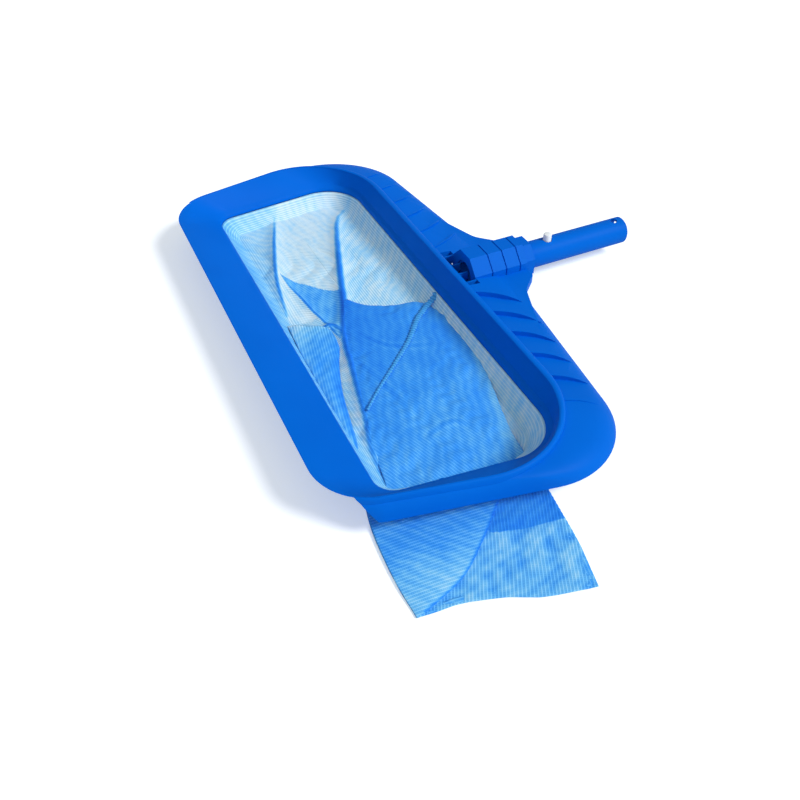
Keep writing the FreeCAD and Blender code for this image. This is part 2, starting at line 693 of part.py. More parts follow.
def finished_frame():
    """Frame with its screw bosses and every hole."""
    whole, bore = frame()
    flange_top = FLANGE_Z + " + Sizes.flange_thick"
    boss_top = f"({CLAMP_Z} + Sizes.screw_length + Sizes.screw_boss_cover)"
    bosses = studs("boss", "Sizes.screw_boss / 2", f"{boss_top} - ({flange_top}) + Sizes.overlap",
                   f"{flange_top} - Sizes.overlap")
    pilot = studs("pilot", "Sizes.screw_shank / 2 + Sizes.screw_clearance",
                  f"{CLAMP_Z} + Sizes.screw_length + Sizes.screw_slack - ({FLANGE_Z}) + Sizes.overcut",
                  f"{FLANGE_Z} - Sizes.overcut")
    recess = handle_studs("handle_recess", "Sizes.handle_screw_head / 2 + Sizes.screw_slack",
                          "Sizes.handle_screw_recess + Sizes.overcut", f"{SOCKET_FOOT_Z} - Sizes.overcut")
    through = handle_studs("handle_through", "Sizes.handle_screw_shank / 2 + Sizes.screw_clearance",
                           "Sizes.socket_flats / 2", SOCKET_FOOT_Z)
    return cut("frame", fuse("frame_bossed", whole, bosses), bore, pilot, recess, through)


def clamps():
    """Four strips that clamp the net's hem against the flange round the mouth."""
    outer = slab("clamp_outer", outline("clamp_outer_line", CLAMP_Z, mouth_corners("Sizes.flange_width")),
                 "Sizes.clamp_thick")
    low = f"{CLAMP_Z} - Sizes.overcut"
    tall = "Sizes.clamp_thick + 2 * Sizes.overcut"
    inner = slab("clamp_inner", outline("clamp_inner_line", low, mouth_corners("Sizes.clamp_setback")), tall)
    holes = studs("clamp_hole", "Sizes.screw_shank / 2 + Sizes.screw_slack", tall, low)
    ring = cut("clamp_ring", outer, inner, holes)
    width = "(Sizes.mouth_back_half + Sizes.flange_width + Sizes.overcut) * 2"
    half = f"({width}) / 2"
    front_end = f"({MOUTH_FRONT_Y} + Sizes.clamp_front_reach)"
    back_start = f"({MOUTH_BACK_Y} - Sizes.clamp_back_reach)"
    gap = "Sizes.clamp_joint_gap"
    side_start = f"{front_end} + {gap} / 2"
    side_depth = f"{back_start} - {front_end} - {gap}"
    regions = {
        "net_clamp_front": box("front_region", width, f"{front_end} - ({LIP_Y}) - {gap} / 2", tall,
                               f"-{half}", LIP_Y, low),
        "net_clamp_back": box("back_region", width, f"-{back_start} - {gap} / 2", tall,
                              f"-{half}", f"{back_start} + {gap} / 2", low),
        "net_clamp_left": box("left_region", half, side_depth, tall, f"-{half}", side_start, low),
        "net_clamp_right": box("right_region", half, side_depth, tall, "0", side_start, low),
    }
    return [common(name, ring, region) for name, region in regions.items()]


def turned(name, profile, along="Z"):
    """Body turned about its axis: profile is a closed run of radius and height expressions."""
    body = doc.addObject("PartDesign::Body", name)
    sketch = body.newObject("Sketcher::SketchObject", name + "_profile")
    plane = [p for p in body.Origin.OriginFeatures if p.Role == "XZ_Plane"][0]
    sketch.AttachmentSupport = [(plane, "")]
    sketch.MapMode = "FlatFace"
    corners = [Vector(size(r), size(z), 0) for r, z in profile]
    count = len(corners)
    sides = [sketch.addGeometry(Part.LineSegment(corners[i], corners[(i + 1) % count])) for i in range(count)]
    for i in range(count):
        sketch.addConstraint(Sketcher.Constraint("Coincident", sides[i - 1], 2, sides[i], 1))
    for i, (radius_rule, height_rule) in enumerate(profile):
        if radius_rule == "0":
            sketch.addConstraint(Sketcher.Constraint("PointOnObject", sides[i], 1, -2))
        else:
            out = sketch.addConstraint(Sketcher.Constraint("DistanceX", -1, 1, sides[i], 1, corners[i].x))
            sketch.setExpression("Constraints[%d]" % out, radius_rule)
        if height_rule == "0":
            sketch.addConstraint(Sketcher.Constraint("PointOnObject", sides[i], 1, -1))
        else:
            up = sketch.addConstraint(Sketcher.Constraint("DistanceY", -1, 1, sides[i], 1, corners[i].y))
            sketch.setExpression("Constraints[%d]" % up, height_rule)
    turn = body.newObject("PartDesign::Revolution", name + "_turn")
    turn.Profile = sketch
    turn.ReferenceAxis = (sketch, ["V_Axis"])
    turn.Angle = 360
    if along == "Y":
        body.Placement = Placement(Vector(0, 0, 0), Rotation(Vector(1, 0, 0), -90))
    return body


def pan_screw(name, shank, length, head, head_thick, slot):
    """Pan head screw whose head's underside lies at height 0, pointing up, with a cross recess."""
    top = f"-({head_thick})"
    blank = turned(name + "_blank", [
        ("0", top), (f"{head} * {CROWN_SHARE}", top), (f"{head} / 2", f"{top} * {RIM_SHARE}"),
        (f"{head} / 2", "0"), (f"{shank} / 2", "0"), (f"{shank} / 2", f"{length} - {shank} * {POINT_SHARE}"),
        ("0", length)])
    slots = []
    for number, (dx, dy) in enumerate(((slot, "Sizes.screw_slot_width"), ("Sizes.screw_slot_width", slot))):
        slots.append(box(f"{name}_slot_{number}", dx, dy, "Sizes.screw_slot_depth + Sizes.overcut",
                         f"-({dx}) / 2", f"-({dy}) / 2", f"{top} - Sizes.overcut"))
    return cut(name, blank, *slots)


def placed_copies(label, screw, places):
    """One node of identical separate screws at their places."""
    doc.recompute()
    copies = []
    for x_rule, y_rule, z_rule in places:
        copy = screw.Shape.copy()
        copy.translate(Vector(size(x_rule), size(y_rule), size(z_rule)))
        copies.append(copy)
    group = doc.addObject("Part::Feature", label)
    group.Shape = Part.makeCompound(copies)
    return group


def handle():
    """Round handle tube with its shoulder, button hole and end hole."""
    inner_end = "-Sizes.socket_front + Sizes.tube_stop"
    outer = "Sizes.tube_diameter / 2"
    hollow = "Sizes.tube_diameter / 2 - Sizes.tube_wall"
    tube = turned("handle_barrel", [
        (hollow, inner_end), (outer, inner_end), (outer, "Sizes.tube_reach - Sizes.tube_edge"),
        (f"{outer} - Sizes.tube_edge", "Sizes.tube_reach"), (hollow, "Sizes.tube_reach")], along="Y")
    shoulder = octagon("shoulder_flange", "Sizes.shoulder_flats", "Sizes.shoulder_thick",
                       "-Sizes.shoulder_thick")
    step = octagon("shoulder_step", "Sizes.shoulder_neck_flats", "Sizes.socket_back - Sizes.shoulder_thick",
                   "-Sizes.socket_back")
    clear = cylinder("shoulder_bore", hollow, "Sizes.socket_front + Sizes.tube_reach",
                     y_rule="-Sizes.socket_front", along="Y")
    button_hole = cylinder("button_hole", "Sizes.clip_button_diameter / 2 + Sizes.clip_hole_gap", outer, "0",
                           "Sizes.clip_button_reach", "Sizes.overcut")
    end_hole = cylinder("end_hole", "Sizes.end_hole_diameter / 2", outer, "0", "Sizes.end_hole_reach",
                        "Sizes.overcut")
    screw_holes = handle_studs("handle_pilot", "Sizes.handle_screw_shank / 2 + Sizes.screw_clearance",
                               "Sizes.tube_diameter / 2", "-Sizes.tube_diameter / 2 - Sizes.overcut")
    solid = fuse("handle_solid", tube, shoulder, step)
    return cut("handle_tube", solid, clear, button_hole, end_hole, screw_holes)


def clip_blade(name, low):
    """Straight arm of the clip, at a height, from behind the button to the bend."""
    start = "(Sizes.clip_button_reach - Sizes.clip_tip)"
    return box(name, "Sizes.clip_width", f"Sizes.clip_bend_reach - {start}", "Sizes.clip_thick",
               "-Sizes.clip_width / 2", start, low)


def snap_button():
    """Upper arm of the clip with the button that snaps into a pole's hole."""
    blade = clip_blade("button_arm", "Sizes.clip_bend_radius - Sizes.clip_thick")
    bind(blade, Width="Sizes.clip_bend_reach - Sizes.soft_gap - Sizes.clip_button_reach + Sizes.clip_tip")
    middle = "Sizes.clip_bend_radius - Sizes.clip_thick / 2"
    top = "Sizes.tube_diameter / 2 + Sizes.clip_button_rise"
    radius = "Sizes.clip_button_diameter / 2"
    edge = "Sizes.clip_button_round"
    button = turned("button_head", [
        ("0", middle), (radius, middle), (radius, f"{top} - {edge}"),
        (f"{radius} - {edge} * 0.3", f"{top} - {edge} * 0.3"), (f"{radius} - {edge}", top), ("0", top)])
    bind(button, Placement__Base__y="Sizes.clip_button_reach")
    return fuse("snap_button", blade, button)


def spring_clip():
    """Round bend of the clip and its lower arm, which lies along the tube's wall."""
    drums = []
    outer = "Sizes.clip_bend_radius"
    for name, radius in (("clip_bend_outer", outer), ("clip_bend_inner", outer + " - Sizes.clip_thick")):
        drum = doc.addObject("Part::Cylinder", name)
        drum.Placement = Placement(Vector(0, 0, 0), Rotation(Vector(0, 1, 0), 90))
        drum.Angle = 180
        bind(drum, Radius=radius, Height="Sizes.clip_width", Placement__Base__x="-Sizes.clip_width / 2",
             Placement__Base__y="Sizes.clip_bend_reach")
        drums.append(drum)
    return fuse("spring_clip", cut("clip_bend", *drums), clip_blade("clip_lower_arm", "-" + outer))


def plan_outline(name, height, corners):
    """Sketch of a sharp-cornered outline with each corner's X and Y bound to the sizes."""
    sketch = doc.addObject("Sketcher::SketchObject", name)
    bind(sketch, Placement__Base__z=height)
    points = [Vector(size(x), size(y), 0) for x, y in corners]
    count = len(points)
    sides = [sketch.addGeometry(Part.LineSegment(points[i], points[(i + 1) % count])) for i in range(count)]
    for i, (x_rule, y_rule) in enumerate(corners):
        sketch.addConstraint(Sketcher.Constraint("Coincident", sides[i - 1], 2, sides[i], 1))
        across = sketch.addConstraint(Sketcher.Constraint("DistanceX", -1, 1, sides[i], 1, points[i].x))
        sketch.setExpression("Constraints[%d]" % across, x_rule)
        along = sketch.addConstraint(Sketcher.Constraint("DistanceY", -1, 1, sides[i], 1, points[i].y))
        sketch.setExpression("Constraints[%d]" % along, y_rule)
    return sketch


def bag():
    """Mesh bag: hem under the flange, a shallow tray on the ground and a flat end past the frame."""
    edge = mouth_corners("(Sizes.flange_width - Sizes.soft_gap)")
    hem = slab("bag_hem", outline("bag_hem_line", HEM_Z, edge), "Sizes.hem_thick")
    rim = "(Sizes.clamp_setback - Sizes.soft_gap)"
    outer = loft("bag_outer", [outline("bag_foot", FLOOR_Z, mouth_corners("(-Sizes.bag_inset)")),
                               outline("bag_rim", HEM_Z + " + Sizes.overlap", mouth_corners(rim))])
    inner = loft("bag_space", [
        outline("bag_inner_foot", f"{FLOOR_Z} + Sizes.bag_wall",
                mouth_corners("(-Sizes.bag_inset - Sizes.bag_wall)")),
        outline("bag_inner_rim", f"{HEM_Z} + Sizes.hem_thick + Sizes.overlap",
                mouth_corners(f"({rim} - Sizes.bag_wall)"))])
    end = slab("bag_end", plan_outline("bag_end_line", FLOOR_Z, [
        ("Sizes.bag_root", f"{MOUTH_FRONT_Y} - Sizes.bag_root_front"),
        ("Sizes.bag_edge_half", f"{LIP_Y} + Sizes.bag_edge_front"),
        ("Sizes.bag_front_reach", f"{LIP_Y} + Sizes.bag_front_corner"),
        ("Sizes.bag_back_reach", f"{LIP_Y} + Sizes.bag_back_corner"),
        ("Sizes.bag_edge_half", f"{LIP_Y} + Sizes.bag_edge_back"),
        ("Sizes.bag_root", f"{MOUTH_BACK_Y} - Sizes.bag_root_back")]), "Sizes.bag_end_thick")
    holes = studs("bag_screw_hole", "Sizes.screw_shank / 2 + Sizes.screw_slack",
                  "Sizes.hem_thick + 2 * Sizes.overcut", f"{HEM_Z} - Sizes.overcut")
    return cut("net_bag", fuse("bag_solid", hem, outer, end), inner, holes)


def bag_trims():
    """Hem band across the bag's end, seam band down its back edge and the seam inside the bag."""
    top = f"{FLOOR_Z} + Sizes.bag_end_thick"
    end_hem = slab("bag_end_hem", plan_outline("end_hem_line", top, [
        ("Sizes.bag_front_reach - Sizes.trim_width", f"{LIP_Y} + Sizes.bag_front_corner"),
        ("Sizes.bag_front_reach", f"{LIP_Y} + Sizes.bag_front_corner"),
        ("Sizes.bag_back_reach", f"{LIP_Y} + Sizes.bag_back_corner"),
        ("Sizes.bag_back_reach - Sizes.trim_width", f"{LIP_Y} + Sizes.bag_back_corner")]), "Sizes.trim_thick")
    start = "(Sizes.bag_back_reach - Sizes.trim_width - Sizes.soft_gap)"
    fall = ("(Sizes.bag_edge_back - Sizes.bag_back_corner) / (Sizes.bag_back_reach - Sizes.bag_edge_half)"
            " * (Sizes.trim_width + Sizes.soft_gap)")
    lean = ("(Sizes.bag_back_reach - Sizes.bag_front_reach)"
            " / (Sizes.bag_back_corner - Sizes.bag_front_corner)"
            " * (Sizes.trim_width + Sizes.soft_gap)")
    edge_seam = slab("bag_edge_seam", plan_outline("edge_seam_line", top, [
        ("Sizes.bag_edge_half", f"{LIP_Y} + Sizes.bag_edge_back - Sizes.trim_width"),
        (f"{start} - {lean}", f"{LIP_Y} + Sizes.bag_back_corner + {fall} - Sizes.trim_width"),
        (start, f"{LIP_Y} + Sizes.bag_back_corner + {fall}"),
        ("Sizes.bag_edge_half", f"{LIP_Y} + Sizes.bag_edge_back")]), "Sizes.trim_thick")
    seam_half = "Sizes.seam_width / 2"
    stations = [("Sizes.seam_start", f"{MOUTH_BACK_Y} - Sizes.seam_start_setback"),
                ("Sizes.seam_bend", f"{MOUTH_BACK_Y} - Sizes.seam_bend_setback"),
                ("Sizes.seam_end", f"{MOUTH_FRONT_Y} + Sizes.seam_end_setback")]
    front_edge = [(x_rule, f"{y_rule} - {seam_half}") for x_rule, y_rule in stations]
    back_edge = [(x_rule, f"{y_rule} + {seam_half}") for x_rule, y_rule in reversed(stations)]
    seam = slab("bag_seam", plan_outline("seam_line", f"{FLOOR_Z} + Sizes.bag_wall", front_edge + back_edge),
                "Sizes.seam_thick")
    return end_hem, edge_seam, seam


def export(parts):
    """Check every object, then write each sub-part to its own file."""
    doc.recompute()
    for thing in doc.Objects:
        if "Invalid" in thing.State or "Error" in thing.State:
            raise RuntimeError(f"{thing.Label} failed: {thing.State}")
    for part in parts:
        if part.Shape.isNull() or not part.Shape.isValid():
            raise RuntimeError(f"{part.Label} has no valid shape")
    os.makedirs("parts", exist_ok=True)
    for part in parts:
        part.Shape.exportStep(f"parts/{part.Label}.step")


clamp_screw = pan_screw("clamp_screw", "Sizes.screw_shank", "Sizes.screw_length", "Sizes.screw_head",
                        "Sizes.screw_head_thick", "Sizes.screw_slot_length")
handle_screw = pan_screw("handle_screw", "Sizes.handle_screw_shank", "Sizes.handle_screw_length",
                         "Sizes.handle_screw_head", "Sizes.handle_screw_head_thick",
                         "Sizes.screw_slot_length")
export([
    finished_frame(),
    *clamps(),
    placed_copies("clamp_screws", clamp_screw, [(x, y, CLAMP_Z) for x, y in screw_places()]),
    handle(),
    placed_copies("handle_screws", handle_screw, [("0", y, HANDLE_HEAD_Z) for y in handle_screw_places()]),
    spring_clip(),
    snap_button(),
    bag(),
    *bag_trims(),
])
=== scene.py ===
"""Leaf skimmer net: the finished look of the scoop, its handle and its mesh bag.

The frame's own solids set every place and size here. Lengths in the classes are millimetres in the
frame's axes: +Y out along the handle, +X towards the end where the bag lies out, +Z up. Angles are
degrees. The bag's cloth carries two shares, mostly from 0 to 1, which its material reads: bunch, how
far the cloth is bunched or doubled, which closes its holes, and pale, which picks the yarn's tone from
deep to whitish. Pale is higher where the cloth is stretched thin, and it also carries painted shade
and painted highlights.
"""
from __future__ import annotations

import json
import logging
import math
from dataclasses import dataclass
from enum import Enum
from typing import Sequence

import bpy
import numpy as np
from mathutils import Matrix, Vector

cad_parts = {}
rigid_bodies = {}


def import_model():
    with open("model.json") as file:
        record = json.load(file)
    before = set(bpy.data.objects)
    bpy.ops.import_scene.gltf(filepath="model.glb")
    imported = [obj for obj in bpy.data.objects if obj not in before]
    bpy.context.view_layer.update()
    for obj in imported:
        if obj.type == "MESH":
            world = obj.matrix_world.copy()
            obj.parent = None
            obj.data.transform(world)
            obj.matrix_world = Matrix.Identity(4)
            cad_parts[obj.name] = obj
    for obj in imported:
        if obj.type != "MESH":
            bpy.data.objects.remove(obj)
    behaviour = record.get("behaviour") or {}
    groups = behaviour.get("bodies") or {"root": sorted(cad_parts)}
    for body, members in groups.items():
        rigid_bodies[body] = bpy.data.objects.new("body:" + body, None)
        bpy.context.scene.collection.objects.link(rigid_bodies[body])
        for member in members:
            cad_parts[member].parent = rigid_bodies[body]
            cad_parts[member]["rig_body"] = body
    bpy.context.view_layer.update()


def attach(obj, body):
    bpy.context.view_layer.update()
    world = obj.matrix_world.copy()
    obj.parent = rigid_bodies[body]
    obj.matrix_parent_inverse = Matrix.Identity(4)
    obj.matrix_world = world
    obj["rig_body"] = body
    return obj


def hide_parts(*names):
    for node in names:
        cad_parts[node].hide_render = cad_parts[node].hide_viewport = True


LOG = logging.getLogger("leaf_skimmer_net")
MM = 0.001
TINY = 1e-9
# Points on a line to which distances are measured.
LINE_SAMPLES = 60
# Phase of a wave texture at a scale of one, in radians for each metre.
WAVE_TURN = 20.0
# Mean value of a noise or wave texture.
TEXTURE_MEAN = 0.5

Point = tuple[float, float]
Spot = tuple[float, float, float]


def linear(code: str) -> tuple[float, float, float, float]:
    """Turn an sRGB hex colour into the linear values that a shader takes.

    Args:
        code: Six hex digits, such as "0a5fd2".

    Returns:
        Linear red, green, blue and an alpha of one.
    """
    channels = [int(code[i:i + 2], 16) / 255 for i in (0, 2, 4)]
    values = [c / 12.92 if c <= 0.04045 else ((c + 0.055) / 1.055) ** 2.4 for c in channels]
    return values[0], values[1], values[2], 1.0


def node(tree: bpy.types.NodeTree, kind: str, settings: dict | None = None,
         **links: object) -> bpy.types.Node:
    """Add one shader node with its settings and inputs.

    Args:
        tree: The material's node tree.
        kind: Blender's type name for the node.
        settings: Properties of the node itself.
        **links: Inputs by name, with underscores for spaces, or by number as i0, i1 and so on. Each is
            a plain value or another node's output socket.

    Returns:
        The new node.
    """
    made = tree.nodes.new(kind)
    for name, value in (settings or {}).items():
        setattr(made, name, value)
    for name, value in links.items():
        numbered = name[0] == "i" and name[1:].isdigit()
        socket = made.inputs[int(name[1:])] if numbered else made.inputs[name.replace("_", " ")]
        if isinstance(value, bpy.types.NodeSocket):
            tree.links.new(value, socket)
        else:
            socket.default_value = value
    return made


def wave_scale(length_mm: float) -> float:
    """Scale that repeats a wave texture's bands along X once in a length.

    Args:
        length_mm: Distance from band to band.

    Returns:
        The texture's scale.
    """
    return 2 * math.pi / (WAVE_TURN * length_mm * MM)


class Socket(Enum):
    """Blender's names for the shader sockets that the finishes set."""

    COLOUR = "Base Color"
    ROUGHNESS = "Roughness"
    METALLIC = "Metallic"
    NORMAL = "Normal"
    ALPHA = "Alpha"
    GLOSS = "Specular IOR Level"
    GLOW = "Emission Strength"
    GLOW_COLOUR = "Emission Color"


def blank_material(name: str) -> tuple[bpy.types.Material, bpy.types.NodeTree, bpy.types.Node]:
    """Make an empty node material.

    Args:
        name: The real material or process that it stands for.

    Returns:
        The material, its node tree and its Principled shader.
    """
    material = bpy.data.materials.new(name)
    material.use_nodes = True
    return material, material.node_tree, material.node_tree.nodes["Principled BSDF"]


@dataclass(frozen=True)
class MouldedPlastic:
    """Injection moulded plastic with a satin skin.

    The mould's fine spark texture breaks up the highlights, and the melt's flow gives slow changes of
    tone.

    Attributes:
        name: The plastic and how it was made.
        colour: Its usual tone.
        dark: Its tone where the flow leaves it darker.
        gloss: Strength of its highlights.
        roughness: Middle of its roughness.
        smoother: How far the grain takes the roughness down.
        rougher: How far the grain takes it up.
        grain_mm: Size of the spark texture's grain.
        flow_mm: Size of the patches of tone.
    """

    name: str
    colour: str
    dark: str
    gloss: float = 0.03
    roughness: float = 0.48
    smoother: float = 0.05
    rougher: float = 0.06
    grain_mm: float = 0.9
    flow_mm: float = 60.0

    def build(self) -> bpy.types.Material:
        """Make the node material.

        Returns:
            The finished material.
        """
        material, tree, shader = blank_material(self.name)
        place = node(tree, "ShaderNodeTexCoord").outputs["Object"]
        flow = node(tree, "ShaderNodeTexNoise", Vector=place, Scale=1 / (self.flow_mm * MM), Detail=2.0)
        tone = node(tree, "ShaderNodeMix", {"data_type": "RGBA"}, Factor=flow.outputs["Fac"],
                    i6=linear(self.dark), i7=linear(self.colour))
        grain = node(tree, "ShaderNodeTexNoise", Vector=place, Scale=1 / (self.grain_mm * MM), Detail=3.0)
        rough = node(tree, "ShaderNodeMapRange", Value=grain.outputs["Fac"],
                     To_Min=self.roughness - self.smoother, To_Max=self.roughness + self.rougher)
        bump = node(tree, "ShaderNodeBump", Height=grain.outputs["Fac"], Strength=0.06, Distance=0.1 * MM)
        tree.links.new(tone.outputs[2], shader.inputs[Socket.COLOUR.value])
        tree.links.new(rough.outputs["Result"], shader.inputs[Socket.ROUGHNESS.value])
        tree.links.new(bump.outputs["Normal"], shader.inputs[Socket.NORMAL.value])
        shader.inputs[Socket.GLOSS.value].default_value = self.gloss
        return material


@dataclass(frozen=True)
class PlatedSteel:
    """Zinc plated steel: a bright metal whose plating leaves fine cloudy crystals.

    Attributes:
        name: The metal and its plating.
        colour: Its brighter crystals.
        dark: Its darker crystals.
        crystal_mm: Size of a crystal.
        smooth: Roughness of the smoothest crystals.
        rough: Roughness of the roughest ones.
    """

    name: str
    colour: str
    dark: str
    crystal_mm: float = 0.8
    smooth: float = 0.28
    rough: float = 0.42

    def build(self) -> bpy.types.Material:
        """Make the node material.

        Returns:
            The finished material.
        """
        material, tree, shader = blank_material(self.name)
        place = node(tree, "ShaderNodeTexCoord").outputs["Object"]
        crystal = node(tree, "ShaderNodeTexNoise", Vector=place, Scale=1 / (self.crystal_mm * MM), Detail=2.0)
        tone = node(tree, "ShaderNodeMix", {"data_type": "RGBA"}, Factor=crystal.outputs["Fac"],
                    i6=linear(self.dark), i7=linear(self.colour))
        rough = node(tree, "ShaderNodeMapRange", Value=crystal.outputs["Fac"], To_Min=self.smooth,
                     To_Max=self.rough)
        tree.links.new(tone.outputs[2], shader.inputs[Socket.COLOUR.value])
        tree.links.new(rough.outputs["Result"], shader.inputs[Socket.ROUGHNESS.value])
        shader.inputs[Socket.METALLIC.value].default_value = 1.0
        return material


@dataclass(frozen=True)
class KnittedMesh:
    """Warp knitted nylon net: heavier ribs one way, fine threads across, and open holes between.

    Each map's U runs along the ribs and its V across them, both in metres. The map "rim" follows the
    mouth's edge, and the attribute "edge" tells how far it counts against the map "weave". The real
    ribs are about a millimetre apart, too fine to show, so ribs and threads are drawn coarser.

    Attributes:
        name: The net and how it was made.
        tones: Colours of the yarn along pale, from deep to whitish: from bunched to stretched thin cloth, and
            from painted shade to painted highlight.
        rib_pitch_mm: Distance from rib to rib.
        rib_share: Width of a rib as a share of that.
        thread_pitch_mm: Distance from thread to thread.
        thread_share: Width of a thread as a share of that.
        thread_height: Height of a thread as a share of a rib's.
        cloud_mm: Size of the patches where the cloth is stretched unevenly.
        cloud: How much they change the tone.
        crimp_mm: Size of the yarn's small crimps.
        crimp: How much they change the tone.
        band_mm: Width, along U, of a light or dark band where two layers of net cross.
        band: How much the bands change the tone.
        weave: How much the ribs stand out in tone: a painted highlight on the ribs and painted shade between
            them.
        weave_mean: Mean height of the weave.
        roughness: The yarn's roughness.
        gloss: Strength of its highlights.
    """

    name: str
    tones: tuple[tuple[float, str], ...] = (
        (0.0, "0a50d2"), (0.3, "2080ee"), (0.5, "3c9cf6"),
        (0.68, "70c4fc"), (0.85, "a6dcfb"), (1.0, "d6eefa"))
    rib_pitch_mm: float = 2.6
    rib_share: float = 0.34
    thread_pitch_mm: float = 1.5
    thread_share: float = 0.22
    thread_height: float = 0.6
    cloud_mm: float = 26.0
    cloud: float = 0.26
    crimp_mm: float = 3.4
    crimp: float = 0.1
    band_mm: float = 6.5
    band: float = 0.07
    weave: float = 0.11
    weave_mean: float = 0.35
    roughness: float = 0.6
    gloss: float = 0.12

    def lines(self, tree: bpy.types.NodeTree, value: bpy.types.NodeSocket, pitch_mm: float, share: float,
              soft: float = 0.06) -> bpy.types.NodeSocket:
        """Add soft-edged parallel threads.

        Args:
            tree: The material's node tree.
            value: Coordinate across the threads, in metres.
            pitch_mm: Distance from thread to thread.
            share: Thread's width as a share of the pitch.
            soft: How far its edge fades in and out, as a share of the pitch.

        Returns:
            One on a thread and zero between.
        """
        turns = node(tree, "ShaderNodeMath", {"operation": "DIVIDE"}, i0=value, i1=pitch_mm * MM)
        part = node(tree, "ShaderNodeMath", {"operation": "FRACT"}, i0=turns.outputs[0])
        off = node(tree, "ShaderNodeMath", {"operation": "SUBTRACT"}, i0=part.outputs[0], i1=0.5)
        away = node(tree, "ShaderNodeMath", {"operation": "ABSOLUTE"}, i0=off.outputs[0])
        ramp = node(tree, "ShaderNodeMapRange", Value=away.outputs[0], From_Min=share / 2 + soft,
                    From_Max=share / 2 - soft)
        return ramp.outputs["Result"]

    def knit(self, tree: bpy.types.NodeTree) -> bpy.types.NodeSocket:
        """Add the ribs and threads of both maps.

        Args:
            tree: The material's node tree.

        Returns:
            Height of the weave, from zero in a hole to one on a rib.
        """
        weaves = []
        for name in ("weave", "rim"):
            flat_map = node(tree, "ShaderNodeUVMap", {"uv_map": name}).outputs["UV"]
            plan = node(tree, "ShaderNodeSeparateXYZ", Vector=flat_map)
            ribs = self.lines(tree, plan.outputs["Y"], self.rib_pitch_mm, self.rib_share)
            threads = self.lines(tree, plan.outputs["X"], self.thread_pitch_mm, self.thread_share)
            low = node(tree, "ShaderNodeMath", {"operation": "MULTIPLY"}, i0=threads, i1=self.thread_height)
            weaves.append(node(tree, "ShaderNodeMath", {"operation": "MAXIMUM"}, i0=ribs, i1=low.outputs[0]))
        edge = node(tree, "ShaderNodeAttribute", {"attribute_name": "edge"}).outputs["Fac"]
        both = node(tree, "ShaderNodeMix", Factor=edge, i2=weaves[0].outputs[0], i3=weaves[1].outputs[0])
        return both.outputs[0]

    def tone(self, tree: bpy.types.NodeTree, weave: bpy.types.NodeSocket) -> bpy.types.NodeSocket:
        """Add the yarn's colour.

        Args:
            tree: The material's node tree.
            weave: Height of the weave.

        Returns:
            The colour.
        """
        place = node(tree, "ShaderNodeTexCoord").outputs["Object"]
        cloud = node(tree, "ShaderNodeTexNoise", Vector=place, Scale=1 / (self.cloud_mm * MM), Detail=3.0)
        crimp = node(tree, "ShaderNodeTexNoise", Vector=place, Scale=1 / (self.crimp_mm * MM), Detail=1.0)
        flat_map = node(tree, "ShaderNodeUVMap", {"uv_map": "weave"}).outputs["UV"]
        bands = node(tree, "ShaderNodeTexWave", {"bands_direction": "DIAGONAL"}, Vector=flat_map,
                     Scale=wave_scale(self.band_mm), Distortion=5.0, Detail=2.0)
        total = node(tree, "ShaderNodeAttribute", {"attribute_name": "pale"}).outputs["Fac"]
        # The weave's term paints a highlight on the ribs and shade between them; cloud, crimp and bands are
        # the yarn's own tone.
        for value, mean, weight in ((cloud.outputs["Fac"], TEXTURE_MEAN, self.cloud),
                                    (crimp.outputs["Fac"], TEXTURE_MEAN, self.crimp),
                                    (bands.outputs["Fac"], TEXTURE_MEAN, self.band),
                                    (weave, self.weave_mean, self.weave)):
            off = node(tree, "ShaderNodeMath", {"operation": "SUBTRACT"}, i0=value, i1=mean)
            total = node(tree, "ShaderNodeMath", {"operation": "MULTIPLY_ADD"}, i0=off.outputs[0], i1=weight,
                         i2=total).outputs[0]
        ramp = node(tree, "ShaderNodeValToRGB", Fac=total)
        elements = ramp.color_ramp.elements
        for spot, code in self.tones[1:-1]:
            elements.new(spot)
        for element, (spot, code) in zip(elements, self.tones):
            element.position = spot
            element.color = linear(code)
        return ramp.outputs["Color"]

    def build(self) -> bpy.types.Material:
        """Make the node material.

        Returns:
            The finished material.
        """
        material, tree, shader = blank_material(self.name)
        weave = self.knit(tree)
        bunch = node(tree, "ShaderNodeAttribute", {"attribute_name": "bunch"}).outputs["Fac"]
        cover = node(tree, "ShaderNodeMapRange", Value=weave, To_Min=bunch, To_Max=1.0)
        height = node(tree, "ShaderNodeBump", Height=weave, Strength=0.35, Distance=0.3 * MM)
        tree.links.new(self.tone(tree, weave), shader.inputs[Socket.COLOUR.value])
        tree.links.new(cover.outputs["Result"], shader.inputs[Socket.ALPHA.value])
        tree.links.new(height.outputs["Normal"], shader.inputs[Socket.NORMAL.value])
        shader.inputs[Socket.ROUGHNESS.value].default_value = self.roughness
        shader.inputs[Socket.GLOSS.value].default_value = self.gloss
        return material


